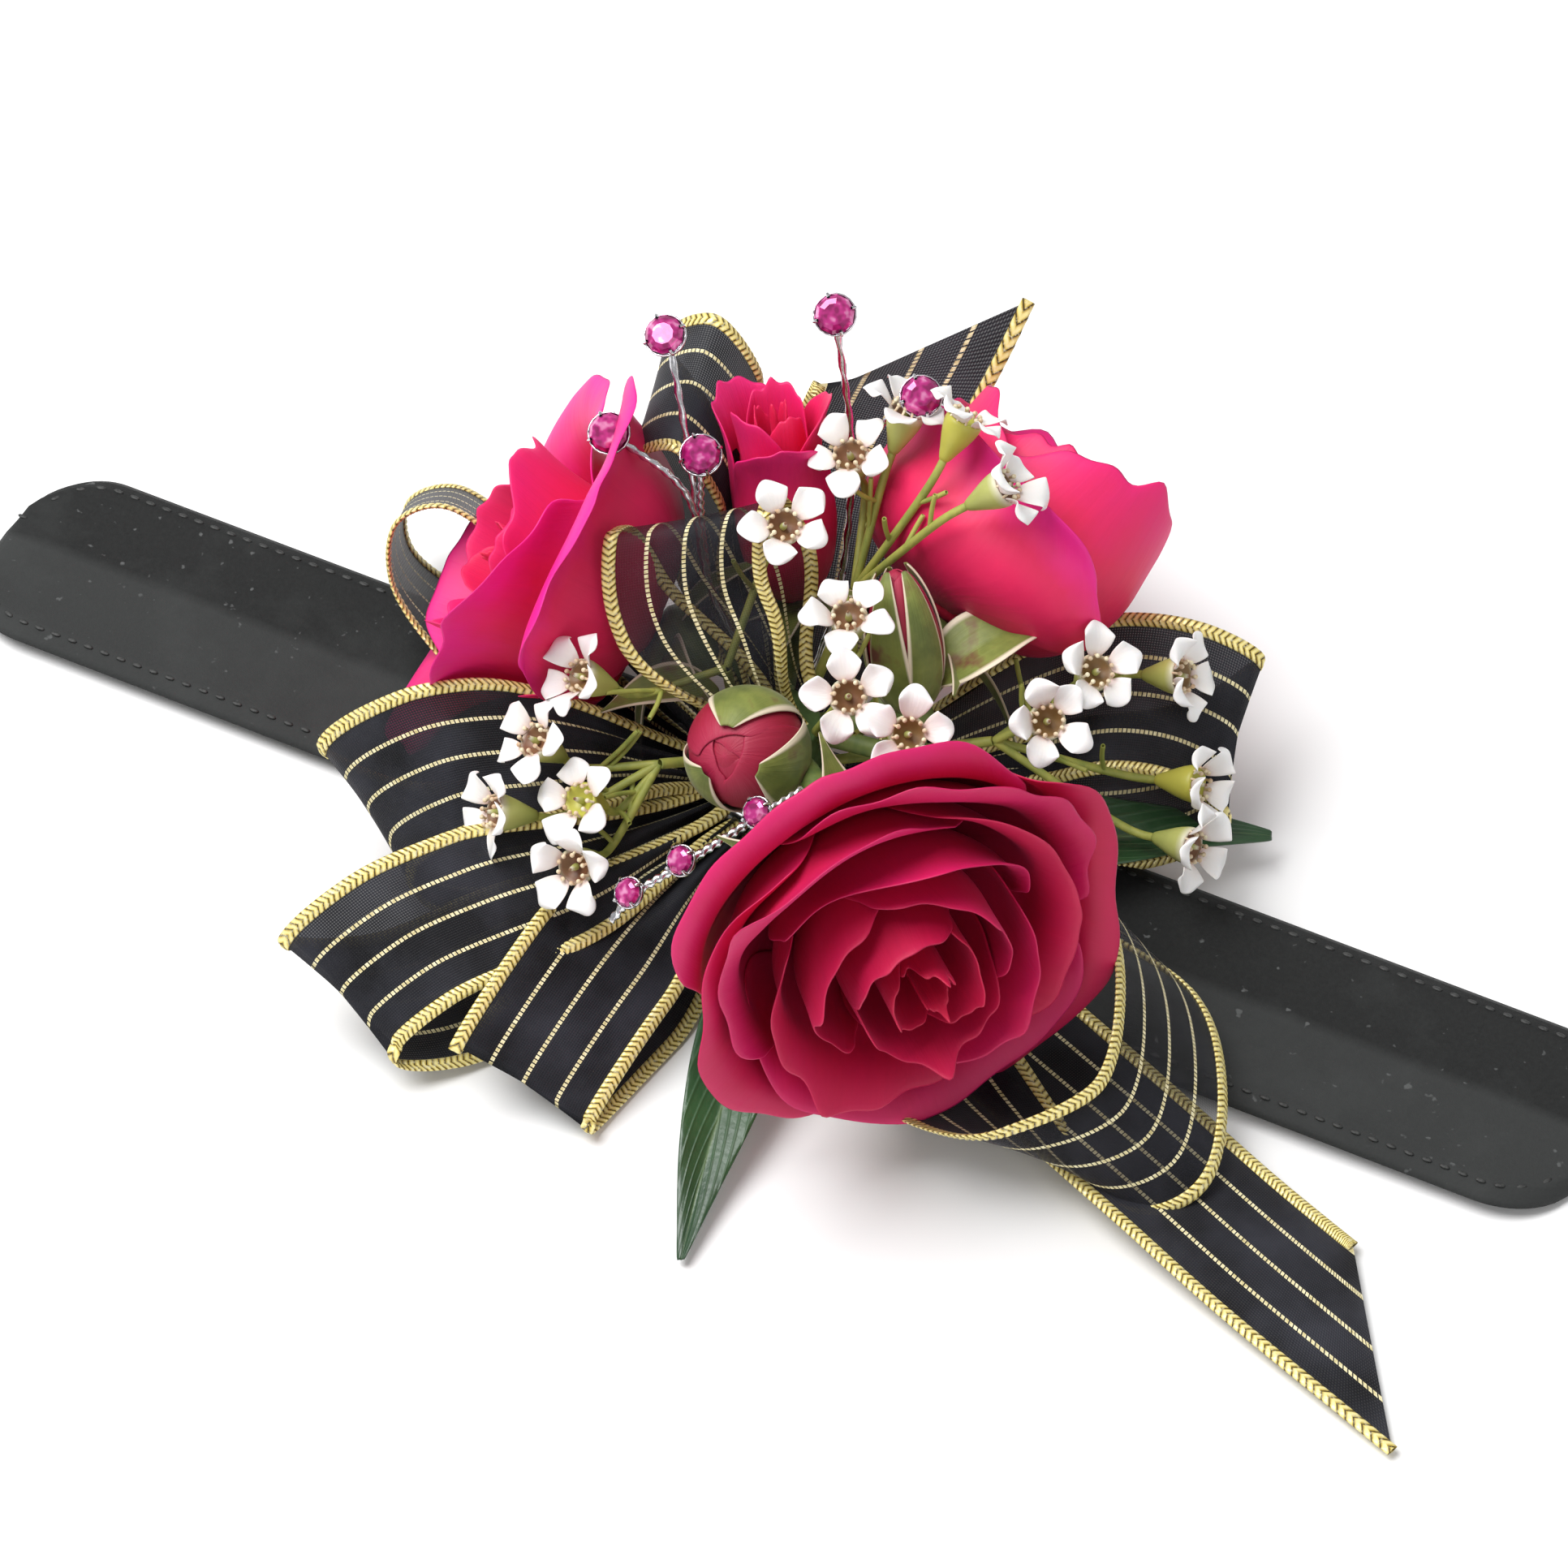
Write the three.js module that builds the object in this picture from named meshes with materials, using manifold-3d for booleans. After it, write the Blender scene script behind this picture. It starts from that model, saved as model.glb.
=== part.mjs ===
// Wrist corsage: roses, buds, waxflower, gems and a ribbon bow on a slap band that curls round a wrist.
// Millimetres, +Z up. The origin is the middle of the band's underside, the face that meets the wrist,
// and +X runs along the band.
import * as THREE from "three";
import { mergeVertices } from "three/addons/utils/BufferGeometryUtils.js";
import Module from "manifold-3d";

const wasm = await Module();
wasm.setup();

// Band
const BAND_LENGTH = 228;
const BAND_WIDTH = 30;
const BAND_CORNER_RADIUS = 11;
const CENTRE_LENGTH = 48;
const SECTIONS_PER_SIDE = 4;
const SECTION_GAP = 0.7;
const SLEEVE_WALL = 0.8;
const WELT_WIDTH = 1.6;
const WELT_THICKNESS = 1.5;
const STRIP_WIDTH = 25;
const STRIP_THICKNESS = 0.3;
const FLAT_WIDTH = 10;
const TROUGH_RADIUS = 30;

// Fit between pieces that touch
const FIT_GAP = 0.3;

// Places in the bouquet are counted from the origin in steps of this length.
const LAYOUT_STEP = 1;

// Foundation under the flowers
const PAD_LENGTH = 40;
const PAD_WIDTH = 18;
const PAD_THICKNESS = 2;
const CORE_RADIUS = 7;
const CORE_HEIGHT = 19;
const WIRE_DIAMETER = 1;

// Ribbon
const RIBBON_WIDTH = 19;
const RIBBON_THICKNESS = 0.5;
const RIBBON_PINCH = 0.3;

// Flowers and leaves
const PETAL_THICKNESS = 0.9;
const SEPAL_THICKNESS = 0.8;
const LEAF_THICKNESS = 0.7;
const ROSE_STEM_DIAMETER = 3.4;
const BUD_STEM_DIAMETER = 2.4;
const WAX_FLOWER_RADIUS = 6.2;
const WAX_PETAL_THICKNESS = 0.6;
const WAX_CUP_RADIUS = 2.7;
const WAX_CUP_DEPTH = 5.5;
const SPRIG_STEM_DIAMETER = 1.3;

// Gems
const GEM_RADIUS = 2.5;
const GEM_CUP_WALL = 0.4;
const STRAND_GEM_RADIUS = 1.8;
const STRAND_WIRE_DIAMETER = 1.1;

const finish = (color, roughness, metalness = 0) =>
  new THREE.MeshStandardMaterial({ color, roughness, metalness });
const FINISHES = {
  sleeve: finish(0x2d302f, 0.85),
  steel: finish(0xb9bcc0, 0.3, 1),
  felt: finish(0x1c1c1e, 0.95),
  tape: finish(0x4f6b35, 0.8),
  petal: finish(0xc81e5c, 0.6),
  sepal: finish(0x5e7a3c, 0.6),
  leaf: finish(0x23401f, 0.35),
  waxflower: finish(0xf4eee6, 0.5),
  ribbon: finish(0x16161a, 0.5),
  silver: finish(0xd8d9dc, 0.2, 1),
  gem: finish(0xd83a94, 0.08),
};

const corsage = new THREE.Group();
const UP = new THREE.Vector3(0, 0, 1);
const vector = ([x, y, z]) => new THREE.Vector3(x, y, z);
const laid = (place) => place.map((steps) => steps * LAYOUT_STEP);

// A closed surface as a solid: shared corners merged, collapsed faces dropped, faces turned outwards.
function solidOf(geometry) {
  const bare = geometry.clone();
  bare.deleteAttribute("normal");
  bare.deleteAttribute("uv");
  const merged = mergeVertices(bare, 1e-4);
  const corners = merged.attributes.position.array;
  const faces = [];
  for (let i = 0; i < merged.index.count; i += 3) {
    const [a, b, c] = [0, 1, 2].map((k) => merged.index.getX(i + k));
    if (a !== b && b !== c && c !== a) faces.push([a, b, c]);
  }
  const at = (i) => new THREE.Vector3().fromArray(corners, 3 * i);
  const volume = faces.reduce((sum, [a, b, c]) => sum + at(a).dot(at(b).cross(at(c))), 0);
  const outward = volume < 0 ? faces.map(([a, b, c]) => [a, c, b]) : faces;
  return new wasm.Manifold(
    new wasm.Mesh({
      numProp: 3,
      vertProperties: new Float32Array(corners),
      triVerts: new Uint32Array(outward.flat()),
    }),
  );
}

function geometryOf(solid) {
  const mesh = solid.getMesh();
  const geometry = new THREE.BufferGeometry();
  geometry.setAttribute("position", new THREE.BufferAttribute(new Float32Array(mesh.vertProperties), 3));
  geometry.setIndex(new THREE.BufferAttribute(new Uint32Array(mesh.triVerts), 1));
  geometry.computeVertexNormals();
  return geometry;
}

const join = (solids) => solids.reduce((whole, solid) => whole.add(solid));

function largestBody(solid) {
  const bodies = solid.decompose();
  return bodies.reduce((largest, body) => (body.volume() > largest.volume() ? body : largest));
}

function addPiece(name, material, solid) {
  const mesh = new THREE.Mesh(geometryOf(solid), material);
  mesh.name = name;
  corsage.add(mesh);
}

// Flowers, leaves and ribbon give way to what was seated before them: each new piece is trimmed
// by the earlier ones, made larger all round by the fit gap.
const halos = [];

function boxesMeet(a, b) {
  const [p, q] = [a.boundingBox(), b.boundingBox()];
  return [0, 1, 2].every((k) => p.min[k] < q.max[k] && q.min[k] < p.max[k]);
}

function seatPiece(name, material, build, halo = build) {
  const whole = build(0);
  const blocking = halos.filter((earlier) => boxesMeet(whole, earlier));
  const trimmed = blocking.reduce((solid, earlier) => solid.subtract(earlier), whole);
  addPiece(name, material, largestBody(trimmed));
  halos.push(halo(FIT_GAP));
}

// A solid of revolution about Z from [radius, height] points that start and end on the axis.
function turned(profile, sides) {
  const points = profile.map(([radius, height]) => new THREE.Vector2(radius, height));
  return new THREE.LatheGeometry(points, sides).rotateX(Math.PI / 2);
}

function tube(points, diameter, steps, sides = 4) {
  const corner = (k) =>
    new THREE.Vector2(diameter / 2, 0).rotateAround(new THREE.Vector2(), (2 * Math.PI * k) / sides);
  const section = new THREE.Shape(Array.from({ length: sides }, (_, k) => corner(k)));
  const extrudePath = new THREE.CatmullRomCurve3(points.map(vector));
  return new THREE.ExtrudeGeometry(section, { steps, extrudePath, bevelEnabled: false });
}

// Turns a shape made about +Z so that it stands at a base point along an axis.
function stand(geometry, base, axis, roll = 0) {
  const turn = new THREE.Quaternion().setFromUnitVectors(UP, vector(axis).normalize());
  const spin = new THREE.Quaternion().setFromAxisAngle(UP, roll);
  const place = new THREE.Matrix4().compose(vector(base), turn.multiply(spin), new THREE.Vector3(1, 1, 1));
  return geometry.clone().applyMatrix4(place);
}

// A thin closed sheet about surface(u, v), with u from -1 to 1 across it and v from 0 to 1 along it.
function sheet(surface, across, along, thickness, grow = 0) {
  const columns = across + 1;
  const point = (i, j) => surface((2 * i) / across - 1, j / along);
  const clamp = (value, most) => Math.min(Math.max(value, 0), most);
  const tangent = (i, j, di, dj) =>
    point(clamp(i + di, across), clamp(j + dj, along)).sub(
      point(clamp(i - di, across), clamp(j - dj, along)),
    );
  const rimPush = (index, most) => (index === 0 ? -1 : index === most ? 1 : 0);
  const skins = [[], []];
  for (let j = 0; j <= along; j += 1) {
    for (let i = 0; i <= across; i += 1) {
      const sideways = tangent(i, j, 1, 0).normalize();
      const onwards = tangent(i, j, 0, 1).normalize();
      const normal = sideways.clone().cross(onwards).normalize();
      const middle = point(i, j)
        .addScaledVector(sideways, grow * rimPush(i, across))
        .addScaledVector(onwards, grow * rimPush(j, along));
      const half = thickness / 2 + grow;
      skins[0].push(middle.clone().addScaledVector(normal, half));
      skins[1].push(middle.clone().addScaledVector(normal, -half));
    }
  }
  const count = skins[0].length;
  const index = [];
  const quad = (a, b, c, d) => index.push(a, b, c, a, c, d);
  for (let j = 0; j < along; j += 1) {
    for (let i = 0; i < across; i += 1) {
      const a = j * columns + i;
      quad(a, a + 1, a + columns + 1, a + columns);
      quad(count + a, count + a + columns, count + a + columns + 1, count + a + 1);
    }
  }
  for (let i = 0; i < across; i += 1) {
    const far = along * columns + i;
    quad(i + 1, i, count + i, count + i + 1);
    quad(far, far + 1, count + far + 1, count + far);
  }
  for (let j = 0; j < along; j += 1) {
    const left = j * columns;
    const right = left + across;
    quad(left, left + columns, count + left + columns, count + left);
    quad(right + columns, right, count + right, count + right + columns);
  }
  const geometry = new THREE.BufferGeometry();
  const corners = [...skins[0], ...skins[1]].flatMap((corner) => corner.toArray());
  geometry.setAttribute("position", new THREE.Float32BufferAttribute(corners, 3));
  geometry.setIndex(index);
  return geometry;
}

// Band: a sprung steel strip in a soft sleeve. Straight, it is a shallow trough across its width,
// flat along the middle and turned up at both edges.
const STRIP_LEVEL = SLEEVE_WALL + FIT_GAP;
const SLEEVE_THICKNESS = 2 * SLEEVE_WALL + 2 * FIT_GAP + STRIP_THICKNESS;
const edgeRise = (y) => Math.max(0, Math.abs(y) - FLAT_WIDTH / 2) ** 2 / (2 * TROUGH_RADIUS);

// A band section between two heights above the trough, out to half a width.
function troughSection(halfWidth, low, high) {
  const half = FLAT_WIDTH / 2;
  const stations = [-halfWidth, -(halfWidth + half) / 2, -half, half, (halfWidth + half) / 2, halfWidth];
  const under = stations.map((y) => new THREE.Vector2(y, low + edgeRise(y)));
  const over = stations.map((y) => new THREE.Vector2(y, high + edgeRise(y))).reverse();
  return new THREE.Shape([...under, ...over]);
}

// The sleeve's outer section, with a thinner sewn welt along each edge.
function sleeveSection() {
  const half = FLAT_WIDTH / 2;
  const body = BAND_WIDTH / 2 - WELT_WIDTH;
  const edge = BAND_WIDTH / 2;
  const under = [-edge, -body, -half, half, body, edge].map((y) => new THREE.Vector2(y, edgeRise(y)));
  const over = [body, half, -half, -body].map((y) => new THREE.Vector2(y, SLEEVE_THICKNESS + edgeRise(y)));
  const welt = (y) => new THREE.Vector2(y, WELT_THICKNESS + edgeRise(y));
  const step = WELT_WIDTH / 4;
  return new THREE.Shape([...under, welt(edge), welt(body + step), ...over, welt(-body - step), welt(-edge)]);
}

const ALONG_X = new THREE.Matrix4().makeBasis(
  new THREE.Vector3(0, 1, 0),
  new THREE.Vector3(0, 0, 1),
  new THREE.Vector3(1, 0, 0),
);

function bandRun(section, from, to) {
  const run = new THREE.ExtrudeGeometry(section, { depth: to - from, bevelEnabled: false });
  return solidOf(run.applyMatrix4(ALONG_X).translate(from, 0, 0));
}

// The band's outline from above, drawn in by an inset, as a tall block to trim the ends round.
function bandOutline(inset) {
  const halfLength = BAND_LENGTH / 2 - inset;
  const halfWidth = BAND_WIDTH / 2 - inset;
  const radius = BAND_CORNER_RADIUS - inset;
  const outline = new THREE.Shape();
  outline.moveTo(-halfLength + radius, -halfWidth);
  outline.absarc(halfLength - radius, -halfWidth + radius, radius, -Math.PI / 2, 0);
  outline.absarc(halfLength - radius, halfWidth - radius, radius, 0, Math.PI / 2);
  outline.absarc(-halfLength + radius, halfWidth - radius, radius, Math.PI / 2, Math.PI);
  outline.absarc(-halfLength + radius, -halfWidth + radius, radius, Math.PI, 1.5 * Math.PI);
  const depth = 4 * SLEEVE_THICKNESS;
  const block = new THREE.ExtrudeGeometry(outline, { depth, bevelEnabled: false, curveSegments: 6 });
  return solidOf(block.translate(0, 0, -SLEEVE_THICKNESS));
}

const SECTION_LENGTH = (BAND_LENGTH - CENTRE_LENGTH) / (2 * SECTIONS_PER_SIDE);
const EDGE_INSET = (BAND_WIDTH - STRIP_WIDTH) / 2;
const sleeveOutline = bandOutline(0);
const pocketOutline = bandOutline(EDGE_INSET - FIT_GAP);
const stripOutline = bandOutline(EDGE_INSET);
const pocketSection = troughSection(BAND_WIDTH / 2, SLEEVE_WALL, SLEEVE_THICKNESS - SLEEVE_WALL);
const stripSection = troughSection(BAND_WIDTH / 2, STRIP_LEVEL, STRIP_LEVEL + STRIP_THICKNESS);

function addBandSection(label, from, to) {
  const [start, end] = [from + SECTION_GAP / 2, to - SECTION_GAP / 2];
  const pocket = bandRun(pocketSection, from, to).intersect(pocketOutline);
  const sleeve = bandRun(sleeveSection(), start, end).intersect(sleeveOutline);
  addPiece(`sleeve_${label}`, FINISHES.sleeve, sleeve.subtract(pocket));
  addPiece(`spring_strip_${label}`, FINISHES.steel, bandRun(stripSection, start, end).intersect(stripOutline));
}

addBandSection("centre", -CENTRE_LENGTH / 2, CENTRE_LENGTH / 2);
for (let n = 1; n <= SECTIONS_PER_SIDE; n += 1) {
  const inner = CENTRE_LENGTH / 2 + (n - 1) * SECTION_LENGTH;
  addBandSection(`left_${n}`, -inner - SECTION_LENGTH, -inner);
  addBandSection(`right_${n}`, inner, inner + SECTION_LENGTH);
}
const bandBlock = troughSection(BAND_WIDTH / 2 + FIT_GAP, -FIT_GAP, SLEEVE_THICKNESS + FIT_GAP);
halos.push(bandRun(bandBlock, -BAND_LENGTH / 2 - FIT_GAP, BAND_LENGTH / 2 + FIT_GAP));

// Foundation: a felt pad glued into the trough, a core of stems bound with tape, and the bow's wire.
const PAD_LEVEL = SLEEVE_THICKNESS + FIT_GAP;
const CORE_LEVEL = PAD_LEVEL + PAD_THICKNESS + FIT_GAP;
const CORE_TOP = CORE_LEVEL + CORE_HEIGHT;
const WIRE_LEVEL = CORE_LEVEL + CORE_HEIGHT / 4;

function feltPad(grow) {
  const half = FLAT_WIDTH / 2;
  const edge = PAD_WIDTH / 2 + grow;
  const under = [-edge, -half, half, edge];
  const low = under.map((y) => new THREE.Vector2(y, PAD_LEVEL - grow + edgeRise(y)));
  const top = PAD_LEVEL + PAD_THICKNESS + grow;
  const section = new THREE.Shape([...low, new THREE.Vector2(edge, top), new THREE.Vector2(-edge, top)]);
  return bandRun(section, -PAD_LENGTH / 2 - grow, PAD_LENGTH / 2 + grow);
}

function stemCore(grow) {
  const [low, high] = [CORE_LEVEL - grow, CORE_TOP + grow];
  const [foot, waist, head] = [1.25, 0.9, 0.8].map((share) => share * CORE_RADIUS + grow);
  const profile = [
    [0, low],
    [foot, low],
    [waist, CORE_LEVEL + CORE_HEIGHT / 5],
    [waist, CORE_LEVEL + CORE_HEIGHT / 2],
    [head, high],
    [0, high],
  ];
  return solidOf(turned(profile, 12));
}

// Two turns of wire drawn tight round the core, ending in a short twisted tail.
function bowWire(grow) {
  const radius = CORE_RADIUS + FIT_GAP + WIRE_DIAMETER / 2;
  const steps = 20;
  const points = [];
  for (let i = 0; i <= steps; i += 1) {
    const angle = (3.6 * Math.PI * i) / steps;
    const height = WIRE_LEVEL + (i / steps) * 2 * (WIRE_DIAMETER + 2 * FIT_GAP);
    points.push([radius * Math.cos(angle), radius * Math.sin(angle), height]);
  }
  return solidOf(tube(points, WIRE_DIAMETER + 2 * grow, steps));
}

seatPiece("felt_pad", FINISHES.felt, feltPad);
seatPiece("taped_stem_core", FINISHES.tape, stemCore);
seatPiece("bow_wire", FINISHES.steel, bowWire);

// A point on the core's side, at an angle round it and a share of its height.
function coreSeat(angle, share) {
  const reach = 0.75 * CORE_RADIUS;
  return [reach * Math.cos(angle), reach * Math.sin(angle), CORE_LEVEL + share * CORE_HEIGHT];
}

const along = (base, axis, distance) => vector(axis).normalize().multiplyScalar(distance).add(vector(base)).toArray();
const headingOf = ([x, y]) => Math.atan2(y, x);

// The side view of a petal, as distance from the bloom's axis against height.
function petalProfile({ foot, reach, height, flare }) {
  return new THREE.CubicBezierCurve(
    new THREE.Vector2(foot[0], foot[1]),
    new THREE.Vector2(0.9 * reach, foot[1] + 0.02 * height),
    new THREE.Vector2(reach, 0.55 * height),
    new THREE.Vector2(reach * (1 + flare), height),
  );
}

// One petal: it leaves the receptacle, bellies out to its reach and flares at the rim, which is
// lower at both sides. One edge lies inside the next petal and the other edge outside the last.
function petal({ foot, reach, height, flare, azimuth, halfAngle, lap }) {
  const profile = petalProfile({ foot, reach, height, flare });
  return (u, v) => {
    const rise = v * (1 - 0.16 * u * u);
    const place = profile.getPoint(rise);
    const angle = azimuth + u * halfAngle * (0.65 + 0.35 * rise);
    const radius = place.x + lap * u;
    return new THREE.Vector3(radius * Math.cos(angle), radius * Math.sin(angle), place.y);
  };
}

// Where the petals of a ring leave the receptacle: each ring further in stands a little higher.
const petalFoot = (radius, height, ring) => [(0.2 - 0.04 * ring) * radius, (0.03 + 0.07 * ring) * height];

// A bloom is rings of petals round a receptacle, from the open outer ring to the tight heart.
function bloom({ radius, height, whorls, base, axis, roll }, grow) {
  const petals = whorls.flatMap(({ petals: count, reach, rise, flare }, ring) =>
    Array.from({ length: count }, (_, k) => {
      const surface = petal({
        foot: petalFoot(radius, height, ring),
        reach: reach * radius,
        height: rise * height,
        flare,
        azimuth: (2 * Math.PI * (k + 0.5 * ring)) / count + 0.4 * ring,
        halfAngle: (1.25 * Math.PI) / count,
        lap: 0.05 * radius,
      });
      return sheet(surface, 3, ring === 0 ? 3 : 2, PETAL_THICKNESS, grow);
    }),
  );
  const receptacle = turned(
    [
      [0, -grow],
      [0.2 * radius + grow, -grow],
      [0.3 * radius + grow, 0.14 * height],
      [0.2 * radius + grow, 0.34 * height],
      [0, 0.4 * height + grow],
    ],
    6,
  );
  return join([receptacle, ...petals].map((shape) => solidOf(stand(shape, base, axis, roll))));
}

// The space a bloom takes up: one plain solid of revolution round all its petals.
function bloomSpace({ radius, height, whorls, base, axis }, grow) {
  const sides = 10;
  const overshoot = 1 / Math.cos(Math.PI / sides);
  const margin = 0.08 * radius + PETAL_THICKNESS / 2 + grow;
  const outer = petalProfile({
    foot: petalFoot(radius, height, 0),
    reach: whorls[0].reach * radius,
    height: whorls[0].rise * height,
    flare: whorls[0].flare,
  });
  const flank = outer.getPoints(5).map(({ x, y }) => [overshoot * (x + margin), y - grow - PETAL_THICKNESS / 2]);
  const rims = whorls.map(({ reach, rise, flare }) => [
    overshoot * (reach * radius * (1 + Math.max(flare, 0)) + margin),
    rise * height + PETAL_THICKNESS + grow,
  ]);
  const under = [[0, -grow], [overshoot * (0.2 * radius + grow), -grow]];
  const profile = [...under, ...flank, ...rims, [0, rims.at(-1)[1]]];
  return solidOf(stand(turned(profile, sides), base, axis));
}

// The green cup under a bloom with its sepals, and the stem that runs down into the taped core.
function calyx({ radius, base, axis, roll, sepals, stem, seat }, grow) {
  const cup = turned(
    [
      [0, -0.42 * radius - grow],
      [0.1 * radius + grow, -0.42 * radius - grow],
      [0.22 * radius + grow, -0.2 * radius],
      [0.2 * radius + grow, -FIT_GAP + grow],
      [0, -FIT_GAP + grow],
    ],
    8,
  );
  const leaves = Array.from({ length: 5 }, (_, k) => {
    const azimuth = (2 * Math.PI * k) / 5;
    const surface = (u, v) => {
      const reach = 0.18 * radius + v * sepals.reach;
      const width = sepals.width * (0.3 + Math.sin(Math.PI * v ** 0.7)) * (1 - 0.85 * v);
      const height = -0.12 * radius + sepals.rise * v * v;
      return new THREE.Vector3(reach, u * width, height + 0.25 * Math.abs(u) * width).applyAxisAngle(UP, azimuth);
    };
    return sheet(surface, 2, 2, SEPAL_THICKNESS, grow);
  });
  const upright = [cup, ...leaves].map((shape) => solidOf(stand(shape, base, axis, roll)));
  const route = [along(base, axis, -0.3 * radius), along(base, axis, -0.75 * radius), seat];
  const stalk = tube(route, stem + 2 * grow, 4, 6);
  return join([...upright, solidOf(stalk)]);
}

const OPEN_WHORLS = [
  { petals: 5, reach: 1, rise: 0.54, flare: 0.08 },
  { petals: 4, reach: 0.76, rise: 0.82, flare: 0.08 },
  { petals: 3, reach: 0.5, rise: 0.95, flare: 0.04 },
  { petals: 2, reach: 0.25, rise: 1, flare: 0 },
];
const HALF_OPEN_WHORLS = [
  { petals: 4, reach: 0.95, rise: 0.86, flare: 0.14 },
  { petals: 3, reach: 0.72, rise: 0.96, flare: 0.08 },
  { petals: 3, reach: 0.4, rise: 1, flare: 0 },
];
const BUD_WHORLS = [
  { petals: 3, reach: 1, rise: 0.92, flare: -0.25 },
  { petals: 2, reach: 0.6, rise: 1, flare: -0.3 },
];
const REFLEXED = { reach: 15, width: 3.4, rise: -6 };

const ROSES = {
  rose_front: {
    radius: 27,
    height: 28,
    whorls: OPEN_WHORLS,
    base: laid([22.9, -22.9, 31.5]),
    axis: [0.72, -0.68, 0.15],
    roll: 0.3,
    sepals: REFLEXED,
    stem: ROSE_STEM_DIAMETER,
  },
  rose_left: {
    radius: 21,
    height: 29,
    whorls: HALF_OPEN_WHORLS,
    base: laid([-21.5, 8, 22]),
    axis: [-0.88, -0.2, 0.42],
    roll: 0.5,
    sepals: REFLEXED,
    stem: ROSE_STEM_DIAMETER,
  },
  rose_right: {
    radius: 20.5,
    height: 26,
    whorls: HALF_OPEN_WHORLS,
    base: laid([13.2, 21.5, 27.5]),
    axis: [0.26, 0.85, 0.46],
    roll: 0.2,
    sepals: REFLEXED,
    stem: ROSE_STEM_DIAMETER,
  },
  rose_back: {
    radius: 7.5,
    height: 29,
    whorls: BUD_WHORLS,
    base: laid([-7, 18, 25]),
    axis: [-0.22, 0.28, 0.93],
    roll: 0,
    sepals: { reach: 8, width: 2.4, rise: -3 },
    stem: BUD_STEM_DIAMETER,
  },
};

for (const [name, rose] of Object.entries(ROSES)) {
  const space = (grow) => bloomSpace(rose, grow);
  seatPiece(`${name}_bloom`, FINISHES.petal, (grow) => bloom(rose, grow), space);
}
for (const [name, rose] of Object.entries(ROSES)) {
  const seat = coreSeat(headingOf(rose.base), 0.75);
  seatPiece(`${name}_calyx`, FINISHES.sepal, (grow) => calyx({ ...rose, seat }, grow));
}

// Buds: petals still furled in a point, held by sepals that run up from the cup, on their own stems.
const BUDS = {
  right: { radius: 5.5, height: 19, base: laid([16.5, 5, 29]), axis: [-0.34, 0.4, 0.85], sepals: 15 },
  front: { radius: 7.5, height: 15, base: laid([2, -5.5, 26.5]), axis: [-0.05, -0.78, 0.62], sepals: 10 },
};

function bud({ radius, height, base, axis, sepals }, grow) {
  const furled = turned(
    [
      [0, -0.5 * radius - grow],
      [0.3 * radius + grow, -0.5 * radius - grow],
      [0.7 * radius + grow, 0],
      [radius + grow, 0.4 * height],
      [0.75 * radius + grow, 0.78 * height],
      [0.2 * radius + grow, height + grow],
      [0, height + grow],
    ],
    8,
  );
  const blades = Array.from({ length: 3 }, (_, k) => {
    const surface = (u, v) => {
      const reach = radius * (0.55 + 0.6 * Math.sin(0.6 * Math.PI * v));
      const half = 0.45 * radius * (1 - v) + 0.3;
      return new THREE.Vector3(reach, u * half, v * sepals).applyAxisAngle(UP, (2 * Math.PI * k) / 3);
    };
    return sheet(surface, 2, 3, SEPAL_THICKNESS, grow);
  });
  const seat = coreSeat(headingOf(base), 0.9);
  const foot = along(base, axis, -0.4 * radius);
  const stalk = tube([foot, along(base, axis, -radius), seat], BUD_STEM_DIAMETER + 2 * grow, 3);
  const upright = [furled, ...blades].map((shape) => stand(shape, base, axis));
  return join([...upright, stalk].map(solidOf));
}

for (const [name, parts] of Object.entries(BUDS)) {
  seatPiece(`bud_${name}`, FINISHES.petal, (grow) => bud(parts, grow));
}

// Gem: a faceted stone with a table on top and a point below, its girdle at the origin.
function gemStone(radius, grow) {
  const profile = [
    [0, -0.75 * radius - grow],
    [radius + grow, -grow],
    [radius + grow, 0.1 * radius + grow],
    [0.6 * radius + grow, 0.45 * radius + grow],
    [0, 0.45 * radius + grow],
  ];
  return turned(profile, 6);
}

// The metal cup that holds a stone, open at the top.
function gemCup(radius, grow) {
  const inner = radius + FIT_GAP - grow;
  const outer = radius + FIT_GAP + GEM_CUP_WALL + grow;
  const floor = -0.75 * radius - 2 * FIT_GAP;
  const profile = [
    [0, floor - GEM_CUP_WALL - grow],
    [outer, -2 * FIT_GAP - grow],
    [outer, grow],
    [inner, grow],
    [inner, -FIT_GAP],
    [0, floor],
  ];
  return turned(profile, 6);
}

// The spray of gems behind the roses: wire stalks from two forked stems, each with a stone in a cup.
const SPRAY_GEMS = [
  { place: laid([-27, 23, 60]), axis: [0.05, -0.55, 0.83], route: [[-4, 5, 22], [-14, 9, 34], [-20, 16, 47]] },
  { place: laid([-29.4, 12, 51.5]), axis: [0.1, -0.6, 0.79], route: [[-14, 9, 34], [-19, 12.5, 45]] },
  { place: laid([-18, 15, 50]), axis: [0.2, -0.5, 0.84], route: [[-14, 9, 34], [-17, 13, 42]] },
  { place: laid([-7, 30.5, 66]), axis: [0.25, -0.6, 0.76], route: [[-2, 7, 14], [-2, 20, 22], [-3.5, 28.5, 42]] },
  { place: laid([5.5, 29.5, 58]), axis: [0.3, -0.55, 0.78], route: [[-3.5, 28.5, 42], [0, 29, 50]] },
];
const cupFoot = (radius) => -0.75 * radius - 2 * FIT_GAP - GEM_CUP_WALL / 2;

SPRAY_GEMS.forEach(({ place, axis }, n) => {
  seatPiece(`spray_gem_${n + 1}`, FINISHES.gem, (grow) => solidOf(stand(gemStone(GEM_RADIUS, grow), place, axis)));
});

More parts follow.
